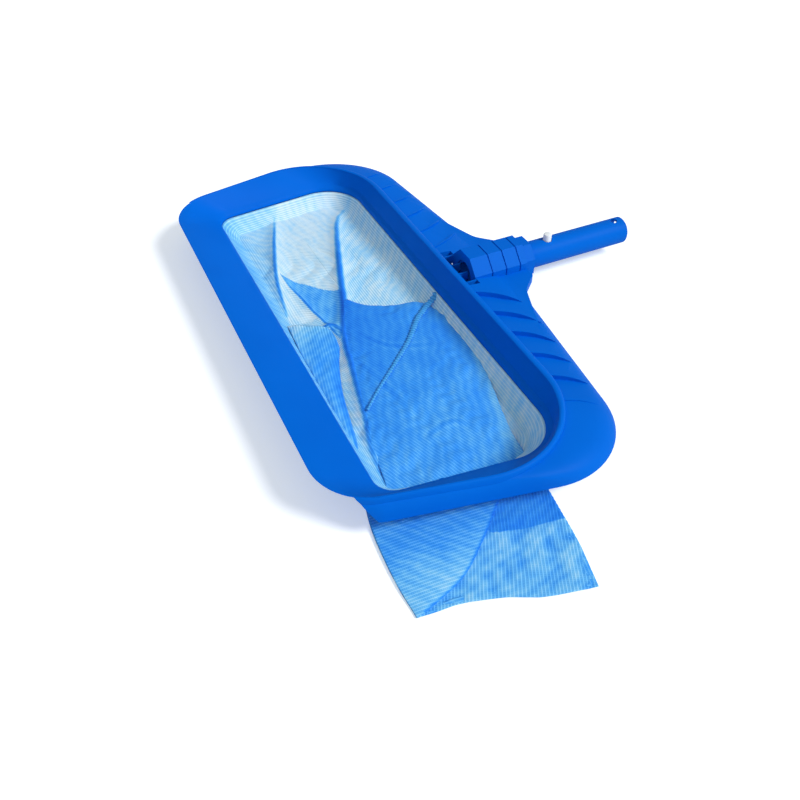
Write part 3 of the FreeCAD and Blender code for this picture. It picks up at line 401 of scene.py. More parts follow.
@dataclass(frozen=True)
class SewnBand:
    """Overlocked edge of the net: yarn wound round it in close loops, which catch the light in turn.
    That light is painted as bands of a lighter colour along the band.

    Attributes:
        name: The yarn and how it was sewn.
        yarn: Its colour between the loops.
        loop_highlight: Its colour on a loop, lighter than the yarn: a painted highlight.
        stitch_mm: Distance from loop to loop.
        roughness: The yarn's roughness.
    """

    name: str
    yarn: str
    loop_highlight: str
    stitch_mm: float = 3.2
    roughness: float = 0.7

    def build(self) -> bpy.types.Material:
        """Make the node material.

        Returns:
            The finished material.
        """
        material, tree, shader = blank_material(self.name)
        place = node(tree, "ShaderNodeTexCoord").outputs["UV"]
        wave = node(tree, "ShaderNodeTexWave", {"bands_direction": "X"}, Vector=place,
                    Scale=wave_scale(self.stitch_mm), Distortion=1.5, Detail=2.0)
        # Painted highlight: the loops' lighter colour alternates with the yarn's along the band.
        tone = node(tree, "ShaderNodeMix", {"data_type": "RGBA"}, Factor=wave.outputs["Fac"],
                    i6=linear(self.yarn), i7=linear(self.loop_highlight))
        bump = node(tree, "ShaderNodeBump", Height=wave.outputs["Fac"], Strength=0.5, Distance=0.4 * MM)
        tree.links.new(tone.outputs[2], shader.inputs[Socket.COLOUR.value])
        tree.links.new(bump.outputs["Normal"], shader.inputs[Socket.NORMAL.value])
        shader.inputs[Socket.ROUGHNESS.value].default_value = self.roughness
        return material


class Plastic(Enum):
    """The moulded finishes."""

    BLUE = MouldedPlastic("injection moulded polypropylene, satin blue", "0068d6", "005fca")
    WHITE = MouldedPlastic("injection moulded acetal, white", "eef2f5", "dfe6ec", gloss=0.3)


@dataclass(frozen=True)
class Part:
    """Moulded part of the scoop.

    Attributes:
        source: Its frame node.
        slot: Its material slot in the record; not used.
        plastic: What it is moulded from.
    """

    source: str
    slot: str
    plastic: Plastic = Plastic.BLUE


@dataclass(frozen=True)
class Mouldings:
    """Frame, clamp strips, handle and clip as smooth skins, and the screws that hold them.

    Attributes:
        parts: The moulded parts.
        screws: Frame nodes of plated steel, which keep their own meshes.
        weld: Points closer than this are joined.
        level: Faces that turn by less than this are joined.
        crisp: Edges that turn by more than this stay sharp.
    """

    parts: tuple[Part, ...] = (
        Part("frame", "frame_plastic"),
        Part("net_clamp_front", "clamp_plastic"),
        Part("net_clamp_back", "clamp_plastic"),
        Part("net_clamp_left", "clamp_plastic"),
        Part("net_clamp_right", "clamp_plastic"),
        Part("handle_tube", "handle_plastic"),
        Part("spring_clip", "clip_plastic", Plastic.WHITE),
        Part("snap_button", "clip_plastic", Plastic.WHITE),
    )
    screws: tuple[str, ...] = ("clamp_screws", "handle_screws")
    weld: float = 0.002
    level: float = 0.4
    crisp: float = 32.0

    def skin(self, part: Part, finish: bpy.types.Material) -> bpy.types.Object:
        """Merge a part's loose triangles into one smooth-shaded skin.

        Args:
            part: The part.
            finish: Its material.

        Returns:
            The new piece, riding where the part's node rides.
        """
        original = bpy.data.objects[part.source]
        piece = bpy.data.objects.new(part.source + "_skin", original.data.copy())
        bpy.context.scene.collection.objects.link(piece)
        bpy.ops.object.select_all(action="DESELECT")
        piece.select_set(True)
        bpy.context.view_layer.objects.active = piece
        bpy.ops.mesh.customdata_custom_splitnormals_clear()
        bpy.ops.object.mode_set(mode="EDIT")
        bpy.ops.mesh.select_all(action="SELECT")
        bpy.ops.mesh.remove_doubles(threshold=self.weld * MM)
        bpy.ops.mesh.dissolve_limited(angle_limit=math.radians(self.level))
        bpy.ops.object.mode_set(mode="OBJECT")
        bpy.ops.object.shade_smooth_by_angle(angle=math.radians(self.crisp))
        piece.data.materials.clear()
        piece.data.materials.append(finish)
        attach(piece, original["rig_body"])
        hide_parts(part.source)
        return piece

    def build(self) -> list[bpy.types.Object]:
        """Make the skins and give the screws their metal.

        Returns:
            The skins and the screws.
        """
        finishes = {plastic: plastic.value.build() for plastic in Plastic}
        steel = PlatedSteel("zinc plated steel, bright", "c9ced4", "9aa1aa").build()
        pieces = [self.skin(part, finishes[part.plastic]) for part in self.parts]
        for source in self.screws:
            screws = bpy.data.objects[source]
            screws.data.materials.clear()
            screws.data.materials.append(steel)
            pieces.append(screws)
        return pieces


def rise(values: np.ndarray, start: float, full: float) -> np.ndarray:
    """Even slope from zero to one.

    Args:
        values: Places along the slope.
        start: Place where it leaves zero.
        full: Place where it reaches one, on either side of the start.

    Returns:
        Zero before the slope, one past it.
    """
    return np.clip((values - start) / (full - start), 0, 1)


def bell(distance: np.ndarray, width: float | np.ndarray, power: float = 2.0) -> np.ndarray:
    """One at a place, fading to zero away from it.

    Args:
        distance: Distance from the place.
        width: Distance at which about a third is left.
        power: How flat the top is and how steep the side.

    Returns:
        The share that is left.
    """
    return np.exp(-(distance / width) ** power)


def reach_along(line: np.ndarray) -> np.ndarray:
    """Measure a line.

    Args:
        line: Its points.

    Returns:
        Distance along the line to each point.
    """
    return np.concatenate([[0], np.cumsum(np.linalg.norm(np.diff(line, axis=0), axis=1))])


def resample(line: np.ndarray, count: int, closed: bool = False) -> np.ndarray:
    """Space points evenly along a line.

    Args:
        line: Its points.
        count: Number of new points.
        closed: Whether it ends where it starts, so that this place gets one new point only.

    Returns:
        The new points.
    """
    reach = reach_along(line)
    wanted = np.linspace(0, reach[-1], count, endpoint=not closed)
    return np.stack([np.interp(wanted, reach, values) for values in line.T], axis=1)


def smooth_line(points: Sequence[Sequence[float]], count: int, steps: int = 12) -> np.ndarray:
    """Draw a smooth curve through points.

    Args:
        points: Points that the curve goes through.
        count: Number of samples.
        steps: Steps in each span while the curve is drawn.

    Returns:
        The samples, evenly spaced along the curve.
    """
    knots = np.array(points, float)
    padded = np.vstack([2 * knots[0] - knots[1], knots, 2 * knots[-1] - knots[-2]])
    fine = []
    for a, b, c, d in zip(padded, padded[1:], padded[2:], padded[3:]):
        for t in np.linspace(0, 1, steps, endpoint=False):
            fine.append(0.5 * (2 * b + (c - a) * t + (2 * a - 5 * b + 4 * c - d) * t ** 2
                               + (3 * b - a - 3 * c + d) * t ** 3))
    fine.append(knots[-1])
    return resample(np.array(fine), count)


def rounded(corner: np.ndarray, before: np.ndarray, after: np.ndarray, radius: float,
            count: int) -> np.ndarray:
    """Round a corner in plan.

    Args:
        corner: The sharp corner.
        before: The corner before it.
        after: The corner after it.
        radius: Radius of the arc.
        count: Number of points.

    Returns:
        Points of the arc, from the side of the corner before.
    """
    back, ahead = ((end - corner) / np.linalg.norm(end - corner) for end in (before, after))
    half = math.acos(np.clip(back @ ahead, -1, 1)) / 2
    centre = corner + (back + ahead) / np.linalg.norm(back + ahead) * radius / math.sin(half)
    ends = [corner + way * radius / math.tan(half) for way in (back, ahead)]
    first, last = (math.atan2(*(end - centre)[::-1]) for end in ends)
    sweep = (last - first + math.pi) % (2 * math.pi) - math.pi
    angles = first + sweep * np.linspace(0, 1, count)
    return centre + radius * np.stack([np.cos(angles), np.sin(angles)], axis=1)


def turned(spots: np.ndarray, degrees: float | np.ndarray) -> np.ndarray:
    """Measure spots in plan along a direction and across it.

    Args:
        spots: Array whose last axis starts with X and Y.
        degrees: The direction, from +X.

    Returns:
        Array whose last axis is along and across.
    """
    turn = np.radians(degrees)
    x, y = spots[..., 0], spots[..., 1]
    return np.stack([x * np.cos(turn) + y * np.sin(turn), -x * np.sin(turn) + y * np.cos(turn)], -1)


def distance_to(line: np.ndarray, spots: np.ndarray) -> tuple[np.ndarray, np.ndarray]:
    """Distance in plan from spots to a line, and how far along the line the nearest place is.

    Args:
        line: Points of the line, of which X and Y count.
        spots: Array whose last axis starts with X and Y.

    Returns:
        Distances, and shares from 0 at the line's start to 1 at its end.
    """
    flat = spots[..., :2].reshape(-1, 1, 2)
    starts, steps = line[:-1, :2], np.diff(line[:, :2], axis=0)
    along = ((flat - starts) * steps).sum(-1) / np.maximum((steps ** 2).sum(-1), TINY)
    along = np.clip(along, 0, 1)
    gaps = np.linalg.norm(flat - starts - along[..., None] * steps, axis=-1)
    nearest = gaps.argmin(axis=1)
    rows = np.arange(len(nearest))
    share = (nearest + along[rows, nearest]) / len(steps)
    shape = spots.shape[:-1]
    return gaps[rows, nearest].reshape(shape), share.reshape(shape)


def inside(polygon: Sequence[Point], spots: np.ndarray) -> np.ndarray:
    """Tell which spots lie inside a polygon in plan.

    Args:
        polygon: Its corners.
        spots: Array whose last axis starts with X and Y.

    Returns:
        True for each spot inside.
    """
    x, y = spots[..., 0], spots[..., 1]
    result = np.zeros(x.shape, bool)
    for (ax, ay), (bx, by) in zip(polygon, list(polygon[1:]) + [polygon[0]]):
        crosses = (ay > y) != (by > y)
        where = (bx - ax) * (y - ay) / ((by - ay) or TINY) + ax
        result ^= crosses & (x < where)
    return result


@dataclass(frozen=True)
class Crease:
    """Sharp fold that stands up from the cloth along a line in plan.

    Attributes:
        line: Points in plan.
        height: How far its top stands up, at its strongest.
        width: How far from the line its flank has mostly died away.
        dark: How far its core is bunched.
        core: Width of that core.
        tip: Share of its length at each end over which it stays weakest.
        fade_power: How blunt its ends are.
        flank_power: How hollow its flank is.
        core_power: How sharp the core's side is.
        core_tip: Width of the core at a faded end, as a share.
        core_gain: What its full strength adds to that share.
        closing: How much more than the core the holes close.
        deepest: Paleness at the bottom of the darkest core.
        glint: How much paler the cloth is beside the core.
        glint_at: Distance of that pale line, in widths of the core.
        glint_width: Its width, in widths of the core.
    """

    line: tuple[Point, ...]
    height: float
    width: float
    dark: float
    core: float
    tip: float = 0.02
    fade_power: float = 0.4
    flank_power: float = 1.3
    core_power: float = 3.0
    core_tip: float = 0.35
    core_gain: float = 0.95
    closing: float = 1.2
    deepest: float = 0.14
    glint: float = 0.06
    glint_at: float = 1.8
    glint_width: float = 0.9

    def apply(self, spots: np.ndarray, bunch: np.ndarray, pale: np.ndarray) -> None:
        """Raise the cloth along the crease and bunch and darken its core.

        Args:
            spots: Array of X, Y and Z, changed in place.
            bunch: Bunching at each spot, changed in place.
            pale: Paleness at each spot, changed in place.
        """
        away, share = distance_to(smooth_line(self.line, LINE_SAMPLES), spots)
        fade = np.sin(np.clip(share, self.tip, 1 - self.tip) * math.pi) ** self.fade_power
        spots[..., 2] += self.height * fade * bell(away, self.width, self.flank_power)
        core_width = self.core * (self.core_tip + self.core_gain * fade)
        core = self.dark * fade * bell(away, core_width, self.core_power)
        np.maximum(bunch, np.clip(core * self.closing, 0, 1), out=bunch)
        pale -= np.clip(pale - self.deepest, 0, 1) * core
        pale += self.glint * fade * bell(away - self.core * self.glint_at, self.core * self.glint_width)


@dataclass(frozen=True)
class Ripple:
    """Low irregular waves across the cloth.

    Attributes:
        height: Height of the waves.
        length: Distance from crest to crest.
        angle: Direction across the waves, from +X.
        seed: Shifts the pattern.
        bend_length: Length over which the crests wind, in wave lengths.
        bend: How far they wind to a side, in wave lengths.
        patch_length: Length over which they come and go, in wave lengths.
        patch_skew: How those patches lie across the waves, in wave lengths for each radian.
        patch_swing: How strongly they come and go.
        wave_shift: How fast the seed shifts the waves.
        patch_shift: How fast the seed shifts the patches.
    """

    height: float
    length: float
    angle: float
    seed: float
    bend_length: float = 1.7
    bend: float = 0.22
    patch_length: float = 2.9
    patch_skew: float = 3.7
    patch_swing: float = 0.45
    wave_shift: float = 2.1
    patch_shift: float = 0.7

    def over(self, spots: np.ndarray) -> np.ndarray:
        """Find the waves' height at each spot.

        Args:
            spots: Array whose last axis starts with X and Y.

        Returns:
            Heights to add.
        """
        plan = turned(spots, self.angle)
        across, along = plan[..., 0], plan[..., 1]
        full, length = 2 * math.pi, self.length
        bend = np.sin(along / (length * self.bend_length) * full + self.seed) * length * self.bend
        waves = np.sin((across + bend) / length * full + self.seed * self.wave_shift)
        patch_turn = along / (length * self.patch_length) * full + across / (length * self.patch_skew)
        patches = 1 - self.patch_swing + self.patch_swing * np.sin(patch_turn + self.seed * self.patch_shift)
        return self.height * waves * patches


@dataclass(frozen=True)
class Tint:
    """Change of paleness that grows along X.

    Attributes:
        amount: The full change.
        start: X where it begins.
        full: X where it is full, on either side of the start.
    """

    amount: float
    start: float
    full: float

    def over(self, spots: np.ndarray) -> np.ndarray:
        """Change of paleness at each spot."""
        return self.amount * rise(spots[..., 0], self.start, self.full)


@dataclass
class Cloth:
    """Grid of cloth with its weave maps and attributes, made into a thin closed shell.

    Attributes:
        name: Name of the piece.
        spots: Array of rows, columns and X, Y, Z.
        weave: Array of rows, columns and the weave's U, V.
        bunch: Bunching at each spot.
        pale: Paleness at each spot.
        thick: Thickness of the shell.
        rim: U and V of the weave that follows the mouth's edge, on cloth whose rows are rings.
        edge: How far that weave counts at each spot.
    """

    name: str
    spots: np.ndarray
    weave: np.ndarray
    bunch: np.ndarray
    pale: np.ndarray
    thick: float = 0.5
    rim: np.ndarray | None = None
    edge: np.ndarray | None = None

    def build(self, material: bpy.types.Material, slot: str, *replaced: str) -> bpy.types.Object:
        """Make the piece.

        Args:
            material: The cloth's material.
            slot: The record's material slot for its finish; not used.
            *replaced: Frame nodes that it stands for.

        Returns:
            The new piece.
        """
        rows, columns = self.spots.shape[:2]
        ring = self.rim is not None
        rim = self.rim if ring else self.weave
        edge = self.edge if ring else np.zeros(self.bunch.shape)
        mesh = bpy.data.meshes.new(self.name)
        faces = []
        for i in range(rows - 1):
            for j in range(columns if ring else columns - 1):
                k = (j + 1) % columns
                faces.append((i * columns + j, i * columns + k, (i + 1) * columns + k, (i + 1) * columns + j))
        mesh.from_pydata((self.spots.reshape(-1, 3) * MM).tolist(), [], faces)
        corners = np.empty(len(mesh.loops), np.int32)
        mesh.loops.foreach_get("vertex_index", corners)
        for name, flat_map in (("weave", self.weave), ("rim", rim)):
            uv = flat_map.reshape(-1, 2)[corners] * MM
            if name == "rim" and ring:
                quads = corners.reshape(-1, 4) % columns
                wraps = (quads.max(axis=1) == columns - 1)[:, None] & (quads == 0)
                uv[wraps.ravel(), 0] += (rim[0, -1, 0] + rim[0, 1, 0]) * MM
            mesh.uv_layers.new(name=name).data.foreach_set("uv", uv.astype(np.float32).ravel())
        for name, values in (("bunch", self.bunch), ("pale", self.pale), ("edge", edge)):
            attribute = mesh.attributes.new(name, "FLOAT", "POINT")
            attribute.data.foreach_set("value", values.ravel().astype(np.float32))
        for polygon in mesh.polygons:
            polygon.use_smooth = True
        mesh.materials.append(material)
        piece = bpy.data.objects.new(self.name, mesh)
        bpy.context.scene.collection.objects.link(piece)
        bpy.context.view_layer.objects.active = piece
        shell = piece.modifiers.new("thickness", "SOLIDIFY")
        shell.thickness = self.thick * MM
        shell.offset = 0
        bpy.ops.object.modifier_apply(modifier=shell.name)
        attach(piece, "scoop")
        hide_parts(*replaced)
        return piece


@dataclass(frozen=True)
class NetTray:
    """Layer of net that hangs from the mouth's edge down to the ground, with its long folds.

    Attributes:
        front_half: Half the mouth's width at its front edge.
        back_half: Half its width at its back edge.
        front: Y of its front edge.
        back: Y of its back edge.
        front_radius: Radius of its front corners.
        back_radius: Radius of its back corners.
        least_radius: Radius that the corners keep where the net is further in.
        corner_points: Points round a corner before they are spaced evenly.
        columns: Number of points round a ring.
        girth: Length of the weave once round the mouth.
        rings: Number of rings from the mouth's edge to the spine.
        steep: Number of the last ring on the slope.
        slope: How far in the slope reaches.
        drop_power: How much the slope is steeper at its top.
        rim: Z of its top.
        ground: Z of the net on the ground.
        spine_half: Half the length of the line in the middle that the rings close on.
        near_fold: Long fold nearer to the front.
        far_fold: Long fold that ends under the heap.
        patch_edge: Fold at the front of the patch.
        knot: Bunched cloth where the folds meet.
        patch: Corners of the doubled patch beside the knot.
        middle: Corners of the single layer between the long folds.
        front_line: Y that parts the front's ribs from the back's.
        patch_turn: Direction of the ribs in the patch.
        middle_turn: Direction of the ribs in the middle.
        front_turn: Direction of the ribs in the front.
        back_turn: Direction of the ribs in the back.
        middle_pale: Paleness of the middle.
        front_pale: Paleness of the front.
        back_pale: Paleness of the back.
        front_shade: How much less pale the net is at the front edge.
        front_shade_reach: How far in that goes.
        patch_pale: Paleness of the patch.
        patch_bunch: Bunching of the patch.
        bunch: Bunching of the rest.
        sheltered_bunch: What is added under the handle and at the right, where the net hangs closer.
        sheltered_x: X where that starts and where it is full.
        sheltered_y: Y where it starts and where it is full.
        edge_reach: Distance in from the mouth's edge where its weave ends, and where it is full.
        ripple: Low waves all over.
    """

    front_half: float = 219.4
    back_half: float = 237.4
    front: float = -262.4
    back: float = -102.6
    front_radius: float = 18.4
    back_radius: float = 42.4
    least_radius: float = 6.0
    corner_points: int = 24
    columns: int = 480
    girth: float = 1180.0
    rings: int = 96
    steep: int = 14
    slope: float = 15.0
    drop_power: float = 0.75
    rim: float = -10.9
    ground: float = -25.9
    spine_half: float = 158.0
    near_fold: Crease = Crease(((-217, -199), (-187, -209), (-158, -219), (-98, -237), (-39, -247)),
                               7.0, 8.0, 0.7, 1.5)
    far_fold: Crease = Crease(((-200, -120), (-186, -133), (-157, -146), (-81, -173), (-27, -191), (18, -209),
                               (65, -220), (125, -234), (163, -245), (199, -250)), 8.0, 7.0, 0.95, 2.6)
    patch_edge: Crease = Crease(((-108, -230), (-85, -228), (-63, -224), (-38, -221), (-14, -217),
                                 (20, -214)), 3.0, 4.0, 0.8, 1.0)
    knot: Crease = Crease(((-21, -250), (-14, -238), (-6, -222), (-3, -212), (12, -209)), 4.0, 5.0, 0.8, 1.7)
    patch: tuple[Point, ...] = ((-108, -230), (-95, -221), (-54, -184), (-20, -193), (14, -209), (20, -214),
                                (-14, -217), (-38, -221), (-63, -224))
    middle: tuple[Point, ...] = ((-235, -190), (-225, -110), (-200, -120), (-186, -133), (-157, -146),
                                 (-81, -173), (-27, -191), (-21, -250), (-100, -236), (-141, -225),
                                 (-187, -208), (-217, -195))
    front_line: float = -196.0
    patch_turn: float = 20.0
    middle_turn: float = 56.0
    front_turn: float = 82.0
    back_turn: float = 2.0
    middle_pale: float = 0.93
    front_pale: float = 0.84
    back_pale: float = 0.86
    front_shade: float = 0.2
    front_shade_reach: float = 16.0
    patch_pale: float = 0.55
    patch_bunch: float = 0.92
    bunch: float = 0.8
    sheltered_bunch: float = 0.15
    sheltered_x: Point = (30.0, 90.0)
    sheltered_y: Point = (-235.0, -205.0)
    edge_reach: Point = (45.6, 21.6)
    ripple: Ripple = Ripple(1.4, 46.0, 70.0, 1.3)

    def ring(self, inset: float) -> np.ndarray:
        """Space points evenly round the mouth, moved inwards.

        Args:
            inset: How far inwards.

        Returns:
            Array of X and Y.
        """
        front, back = self.front + inset, self.back - inset
        front_half, back_half = self.front_half - inset, self.back_half - inset
        radii = [max(radius - inset, self.least_radius) for radius in (self.front_radius, self.back_radius)]
        corners = np.array([(front_half, front), (back_half, back), (-back_half, back), (-front_half, front)])
        arcs = [rounded(corners[i], corners[i - 1], corners[(i + 1) % 4], radius, self.corner_points)
                for i, radius in enumerate((radii[0], radii[1], radii[1], radii[0]))]
        path = np.vstack([*arcs, arcs[0][:1]])
        return resample(path, self.columns, closed=True)

    def lay(self) -> tuple[np.ndarray, np.ndarray]:
        """Lay the rings down the slope and then in to the spine.

        Returns:
            The spots, and the map that follows the mouth's edge: how far round and how far in.
        """
        rim, foot = self.ring(0.0), self.ring(self.slope)
        middle = np.full(self.columns, (self.front + self.back) / 2)
        spine = np.column_stack([np.clip(foot[:, 0], -self.spine_half, self.spine_half), middle])
        around = np.linspace(0, self.girth, self.columns, endpoint=False)
        slant = math.hypot(self.slope, self.rim - self.ground)
        spots, follow = [], []
        for k in range(self.rings):
            if k <= self.steep:
                share = k / self.steep
                plan = rim * (1 - share) + foot * share
                drop = share ** self.drop_power
                level = self.rim * (1 - drop) + self.ground * drop
                inward = np.full(self.columns, share * slant)
            else:
                share = (k - self.steep) / (self.rings - 1 - self.steep)
                plan = foot * (1 - share) + spine * share
                level = self.ground
                inward = np.linalg.norm(plan - foot, axis=1) + slant
            spots.append(np.column_stack([plan, np.full(self.columns, level)]))
            follow.append(np.column_stack([around, inward]))
        return np.array(spots), np.array(follow)

    def cloth(self) -> Cloth:
        """Lay the tray and put its folds on it.

        Returns:
            The cloth.
        """
        spots, follow = self.lay()
        x, y = spots[..., 0], spots[..., 1]
        middle, patch = inside(self.middle, spots), inside(self.patch, spots)
        ahead = (y < self.front_line) & ~middle & ~patch
        turns = np.select([patch, middle, ahead], [self.patch_turn, self.middle_turn, self.front_turn],
                          self.back_turn)
        weave = turned(spots, turns)
        edge = rise(follow[..., 1], *self.edge_reach)
        pale = np.select([middle, ahead], [self.middle_pale, self.front_pale], self.back_pale)
        pale -= self.front_shade * bell(y - self.front, self.front_shade_reach)
        sheltered = rise(x, *self.sheltered_x) * edge * rise(y, *self.sheltered_y)
        bunch = self.bunch + self.sheltered_bunch * sheltered
        bunch[patch] = self.patch_bunch
        pale[patch] = self.patch_pale
        relief = spots.copy()
        for crease in (self.near_fold, self.far_fold, self.patch_edge, self.knot):
            crease.apply(relief, bunch, pale)
        relief[..., 2] += np.abs(self.ripple.over(spots))
        free = np.clip(np.arange(self.rings) / self.steep, 0, 1)[:, None] ** 2
        spots[..., 2] += (relief[..., 2] - spots[..., 2]) * free
        return Cloth("net_tray", spots, weave, bunch, pale, rim=follow, edge=edge)


@dataclass(frozen=True)
class Patch:
    """Cloth laid between a near line and a far line.

    Attributes:
        name: Name of the piece.
        near: X, Y, Z points of its edge towards the front.
        far: Points of its other edge, which starts at the same end.
        crown: How far the middle rises above both edges.
        rows: Number of grid rows from near to far.
        columns: Number of grid columns along the lines.
        weave_turn: Direction of the ribs in plan.
        bunch: Bunching all over.
        pale: Paleness all over.
        crown_power: How flat the crown is from near to far.
        end_power: How soon the crown is full from the ends.
        end_crown: Share of the crown that the ends keep.
    """

    name: str
    near: tuple[Spot, ...]
    far: tuple[Spot, ...]
    crown: float
    rows: int
    columns: int
    weave_turn: float
    bunch: float
    pale: float
    crown_power: float = 0.6
    end_power: float = 0.5
    end_crown: float = 0.35

    def cloth(self) -> Cloth:
        """Lay the grid.

        Returns:
            The cloth, flat but for its crown.
        """
        near, far = smooth_line(self.near, self.columns), smooth_line(self.far, self.columns)
        share = np.linspace(0, 1, self.rows)[:, None, None]
        spots = near[None] * (1 - share) + far[None] * share
        ends = np.sin(np.linspace(0, math.pi, self.columns)) ** self.end_power
        swell = np.sin(share[..., 0] * math.pi) ** self.crown_power
        spots[..., 2] += self.crown * swell * (self.end_crown + (1 - self.end_crown) * ends)
        level = np.ones(spots.shape[:2])
        return Cloth(self.name, spots, turned(spots, self.weave_turn), level * self.bunch, level * self.pale)


@dataclass(frozen=True)
class NetHeap(Patch):
    """Doubled cloth of the bag's body, which lies in the middle of the mouth and runs out to the right.

    Attributes:
        creases: Low folds on it.
        ripples: Waves all over it.
        top: Z that none of it passes, so that it stays clear of the mouth.
        near_tint: Shade beside its near edge.
        near_reach: How far in that goes.
        right_tint: How it grows paler to the right.
        far_tint: Paler band along its far edge.
        far_reach: How far in that goes.
    """

    name: str = "net_heap"
    near: tuple[Spot, ...] = (
        (-34, -186, -19), (-27, -191, -18), (18, -209, -18.5), (65, -220, -19), (125, -234, -20),
        (163, -245, -21), (199, -250, -22), (240, -262, -23.4))
    far: tuple[Spot, ...] = (
        (-32, -180, -22), (-14, -160, -22), (-2, -122, -21), (13, -110, -20.5), (39, -102.5, -20),
        (79, -103, -20), (133, -115, -21), (186, -128, -22), (221, -132, -23.2), (240, -133, -23.6))
    crown: float = 2.4
    rows: int = 90
    columns: int = 220
    weave_turn: float = 24.0
    bunch: float = 0.93
    pale: float = 0.42
    creases: tuple[Crease, ...] = (
        Crease(((172, -198), (168, -190), (164, -179), (165, -167), (174, -159)), 0.9, 5.0, 0.22, 2.4),
        Crease(((60, -212), (92, -205), (128, -200), (150, -205)), 0.7, 5.0, 0.22, 2.4),
        Crease(((20, -196), (48, -180), (60, -158), (66, -140)), 0.6, 5.0, 0.22, 2.4))
    ripples: tuple[Ripple, ...] = (Ripple(0.7, 37.0, 52.0, 0.4), Ripple(0.35, 13.0, 20.0, 1.9))
    top: float = -17.8
    near_tint: Tint = Tint(-0.12, 160.0, 0.0)
    near_reach: float = 30.0
    right_tint: Tint = Tint(0.1, 60.0, 210.0)
    far_tint: Tint = Tint(0.16, -10.0, 40.0)
    far_reach: float = 7.0

    def cloth(self) -> Cloth:
        """Lay the heap with its waves, folds and tones.

        Returns:
            The cloth.
        """
        cloth = super().cloth()
        spots, pale = cloth.spots, cloth.pale
        spots[..., 2] += sum(ripple.over(spots) for ripple in self.ripples)
        for crease in self.creases:
            crease.apply(spots, cloth.bunch, pale)
        spots[..., 2] = np.minimum(spots[..., 2], self.top)
        near_gap, far_gap = (distance_to(smooth_line(line, LINE_SAMPLES), spots)[0]
                             for line in (self.near, self.far))
        pale += self.near_tint.over(spots) * bell(near_gap, self.near_reach)
        pale += self.right_tint.over(spots)
        pale += self.far_tint.over(spots) * bell(far_gap, self.far_reach)
        return cloth


@dataclass(frozen=True)
class NetLobe(Patch):
    """Slack cloth that bellies up along the mouth's front edge.

    Attributes:
        ripple: Waves all over it.
        lift: What is added to its paleness.
        back_shade: How much less pale it is at its far edge.
        back_power: How late that shade comes in.
        end_pale: How much paler it is at its left end, where it is stretched thin.
        end_bunch: How much less bunched it is there.
        end_reach: How far that goes, as a share of its length.
        fold_light_and_shade: How much painted light and shade of soft folds change its paleness.
        fold_turns: Radians that those folds turn across it and along it.
    """

    name: str = "net_lobe"
    near: tuple[Spot, ...] = (
        (-19, -253, -18.5), (21, -256, -18), (64, -257, -18), (103, -258, -18), (140, -259, -18.5),
        (172, -259.5, -19), (200, -259.5, -20))
    far: tuple[Spot, ...] = (
        (-4, -215, -23), (20, -216, -22.5), (53, -229, -22), (84, -239, -22), (116, -246, -22.5),
        (150, -252, -23), (180, -255, -23.3), (205, -256, -23.6))
    crown: float = 3.4
    rows: int = 60
    columns: int = 160
    weave_turn: float = -12.0
    bunch: float = 0.95
    pale: float = 0.56
    ripple: Ripple = Ripple(0.7, 21.0, 96.0, 2.0)
    lift: float = 0.03
    back_shade: float = 0.24
    back_power: float = 1.3
    end_pale: float = 0.34
    end_bunch: float = 0.25
    end_reach: float = 0.07
    fold_light_and_shade: float = 0.04
    fold_turns: Point = (9.0, 7.0)

    def cloth(self) -> Cloth:
        """Lay the lobe with its waves and tones.

        Returns:
            The cloth.
        """
        cloth = super().cloth()
        cloth.spots[..., 2] += self.ripple.over(cloth.spots)
        across = np.linspace(0, 1, self.rows)[:, None]
        along = np.linspace(0, 1, self.columns)[None, :]
        end = bell(along, self.end_reach, 1.0)
        # Painted light and shade of soft folds across the lobe.
        folds = np.sin(across * self.fold_turns[0] + along * self.fold_turns[1])
        shade = self.back_shade * across ** self.back_power
        cloth.pale += self.lift - shade + self.end_pale * end + self.fold_light_and_shade * folds
        cloth.bunch -= self.end_bunch * end
        return cloth


